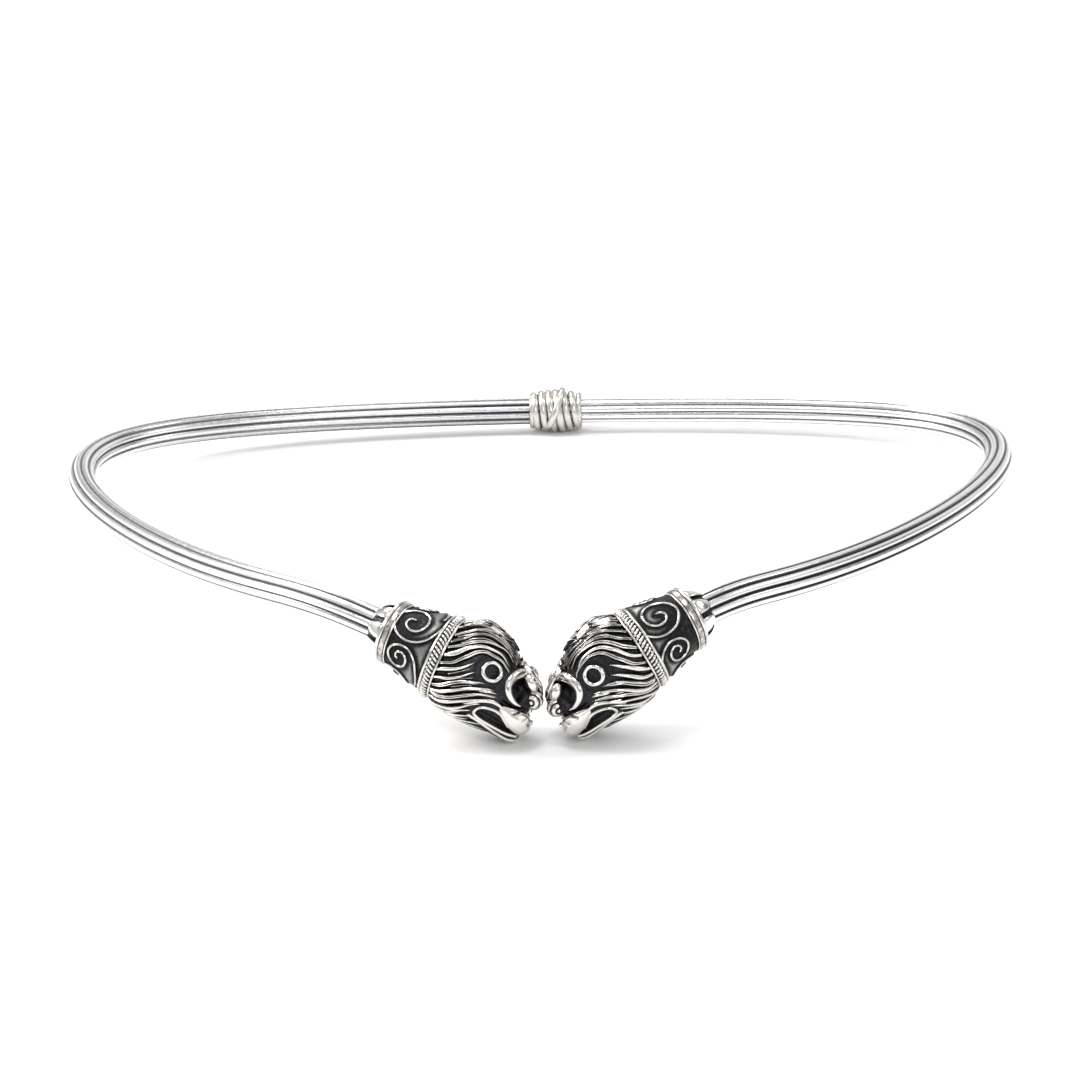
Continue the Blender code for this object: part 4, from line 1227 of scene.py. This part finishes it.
def make_floor():
    mesh = bpy.data.meshes.new("floor")
    corners = [(x * FLOOR_HALF, y * FLOOR_HALF, 0) for x, y in ((-1, -1), (1, -1), (1, 1), (-1, 1))]
    mesh.from_pydata(corners, [], [(0, 1, 2, 3)])
    mat = bpy.data.materials.new("floor_white")
    mat.use_nodes = True
    shader = mat.node_tree.nodes["Principled BSDF"]
    shader.inputs["Base Color"].default_value = colour((FLOOR_WHITE,) * 3)
    shader.inputs["Roughness"].default_value = FLOOR_ROUGHNESS
    mesh.materials.append(mat)
    item = add_object("floor", mesh)


# Dark parts of the studio that the silver mirrors: direction, radius where they are full and
# where they end in degrees, and share of light they leave
CARDS = (
    ((0.0, -0.93, 0.36), 9.0, 30.0, 0.1),
    ((0.86, 0.42, 0.3), 6.0, 20.0, 0.22),
    ((-0.3, 0.9, 0.28), 5.0, 22.0, 0.45),
    ((-0.8, -0.45, 0.4), 4.0, 16.0, 0.35),
)
WHITE = (1.0, 1.0, 1.0)
WALL_LIGHT = 1.0
CEILING_SHARE = 0.62
HORIZON_SHARE = 0.7
CEILING_FADE = (0.15, 0.95)  # heights of the direction where the light turns to the ceiling's
HORIZON_FADE = (0.04, 0.26)  # likewise, from the horizon's


def make_world():
    """A white tent with a few dark cards, told apart by direction."""
    world = bpy.data.worlds.new("studio")
    world.use_nodes = True
    tree = world.node_tree
    place = add_node(tree, "TexCoord", "Generated", {})
    up = add_node(tree, "SeparateXYZ", "Z", {0: place})
    light = span(tree, up, *CEILING_FADE, WALL_LIGHT, WALL_LIGHT * CEILING_SHARE)
    low = span(tree, up, *HORIZON_FADE, HORIZON_SHARE, 1.0)
    light = maths(tree, "MULTIPLY", light, low)
    for direction, full, end, share in CARDS:
        facing = add_node(tree, "VectorMath", "Value", {
            0: place, 1: Vector(direction).normalized()}, operation="DOT_PRODUCT")
        edge = cos(radians(end)), cos(radians(full))
        light = maths(tree, "MULTIPLY", light, span(tree, facing, *edge, 1.0, share))
    inputs = tree.nodes["Background"].inputs
    tree.links.new(light, inputs["Strength"])
    inputs["Color"].default_value = colour(WHITE)
    bpy.context.scene.world = world


# Lamps: name, place, watts and colour
LAMPS = (
    ("left", (-0.72, 0.1, 0.56), 6.0, (1.0, 0.98, 0.94)),
    ("back", (-0.22, 0.6, 0.7), 2.8, WHITE),
    ("right", (0.62, 0.1, 0.66), 1.2, WHITE),
    ("top", (-0.1, -0.1, 0.95), 2.7, WHITE),
    ("front", (0.2, -0.8, 0.48), 2.4, WHITE),
)
LAMP_SIZE = 0.34
LAMP_AIM = (0.0, -0.02, 0.0)


def make_lights():
    """Square soft lamps that look at the middle of the ring."""
    for name, place, watts, tint in LAMPS:
        data = bpy.data.lights.new(name, "AREA")
        data.shape = "RECTANGLE"
        data.size = LAMP_SIZE
        data.size_y = LAMP_SIZE
        data.energy = watts
        data.color = tint
        item = add_object(name, data)
        item.location = place
        look = Vector(LAMP_AIM) - Vector(place)
        item.rotation_euler = look.to_track_quat("-Z", "Y").to_euler()
    bpy.context.scene.view_settings.view_transform = "Standard"


SHIFT = frame_shift()
RIGHT = Arm(1, SHIFT)
LEFT = Arm(-1, SHIFT)
make_camera(SHIFT)
make_floor()
make_world()
make_lights()

BLACK_OXIDE = (0.017, 0.017, 0.019)
tube_silver = silver("tube_silver", (0.97, 0.965, 0.955), (0.03, 0.031, 0.035), 0.22, 0.36, 0.03,
                     tarnish=(0.24, 0.24, 0.25))
petal_silver = silver("petal_silver", (0.78, 0.775, 0.77), BLACK_OXIDE, 0.16, 0.4, 0.3)
wire_silver = silver("wire_silver", (0.67, 0.66, 0.64), BLACK_OXIDE, 0.18, 0.42, 0.36)
drum_silver = silver("drum_silver", (0.28, 0.28, 0.28), (0.011, 0.011, 0.012), 0.36, 0.5, 0.22,
                     0.6, (0.2, 0.9), 0.25 * MM, (0.12, 0.12, 0.12))
head_silver = silver("head_silver", (0.72, 0.705, 0.68), BLACK_OXIDE, 0.19, 0.42, 0.3,
                     patch_size=0.3 * MM, tarnish=(0.18, 0.15, 0.125))
binding_silver = silver("binding_silver", (0.61, 0.59, 0.56), (0.05, 0.05, 0.055), 0.3, 0.4,
                        0.08)

for arm in (RIGHT, LEFT):
    make_arm(arm, tube_silver)
    make_cup(arm, petal_silver)
    make_collar(arm, drum_silver, wire_silver)
    make_head(arm, head_silver)
make_binding(RIGHT, binding_silver)

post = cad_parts["back_post"]
post.data.materials.clear()
post.data.materials.append(binding_silver)
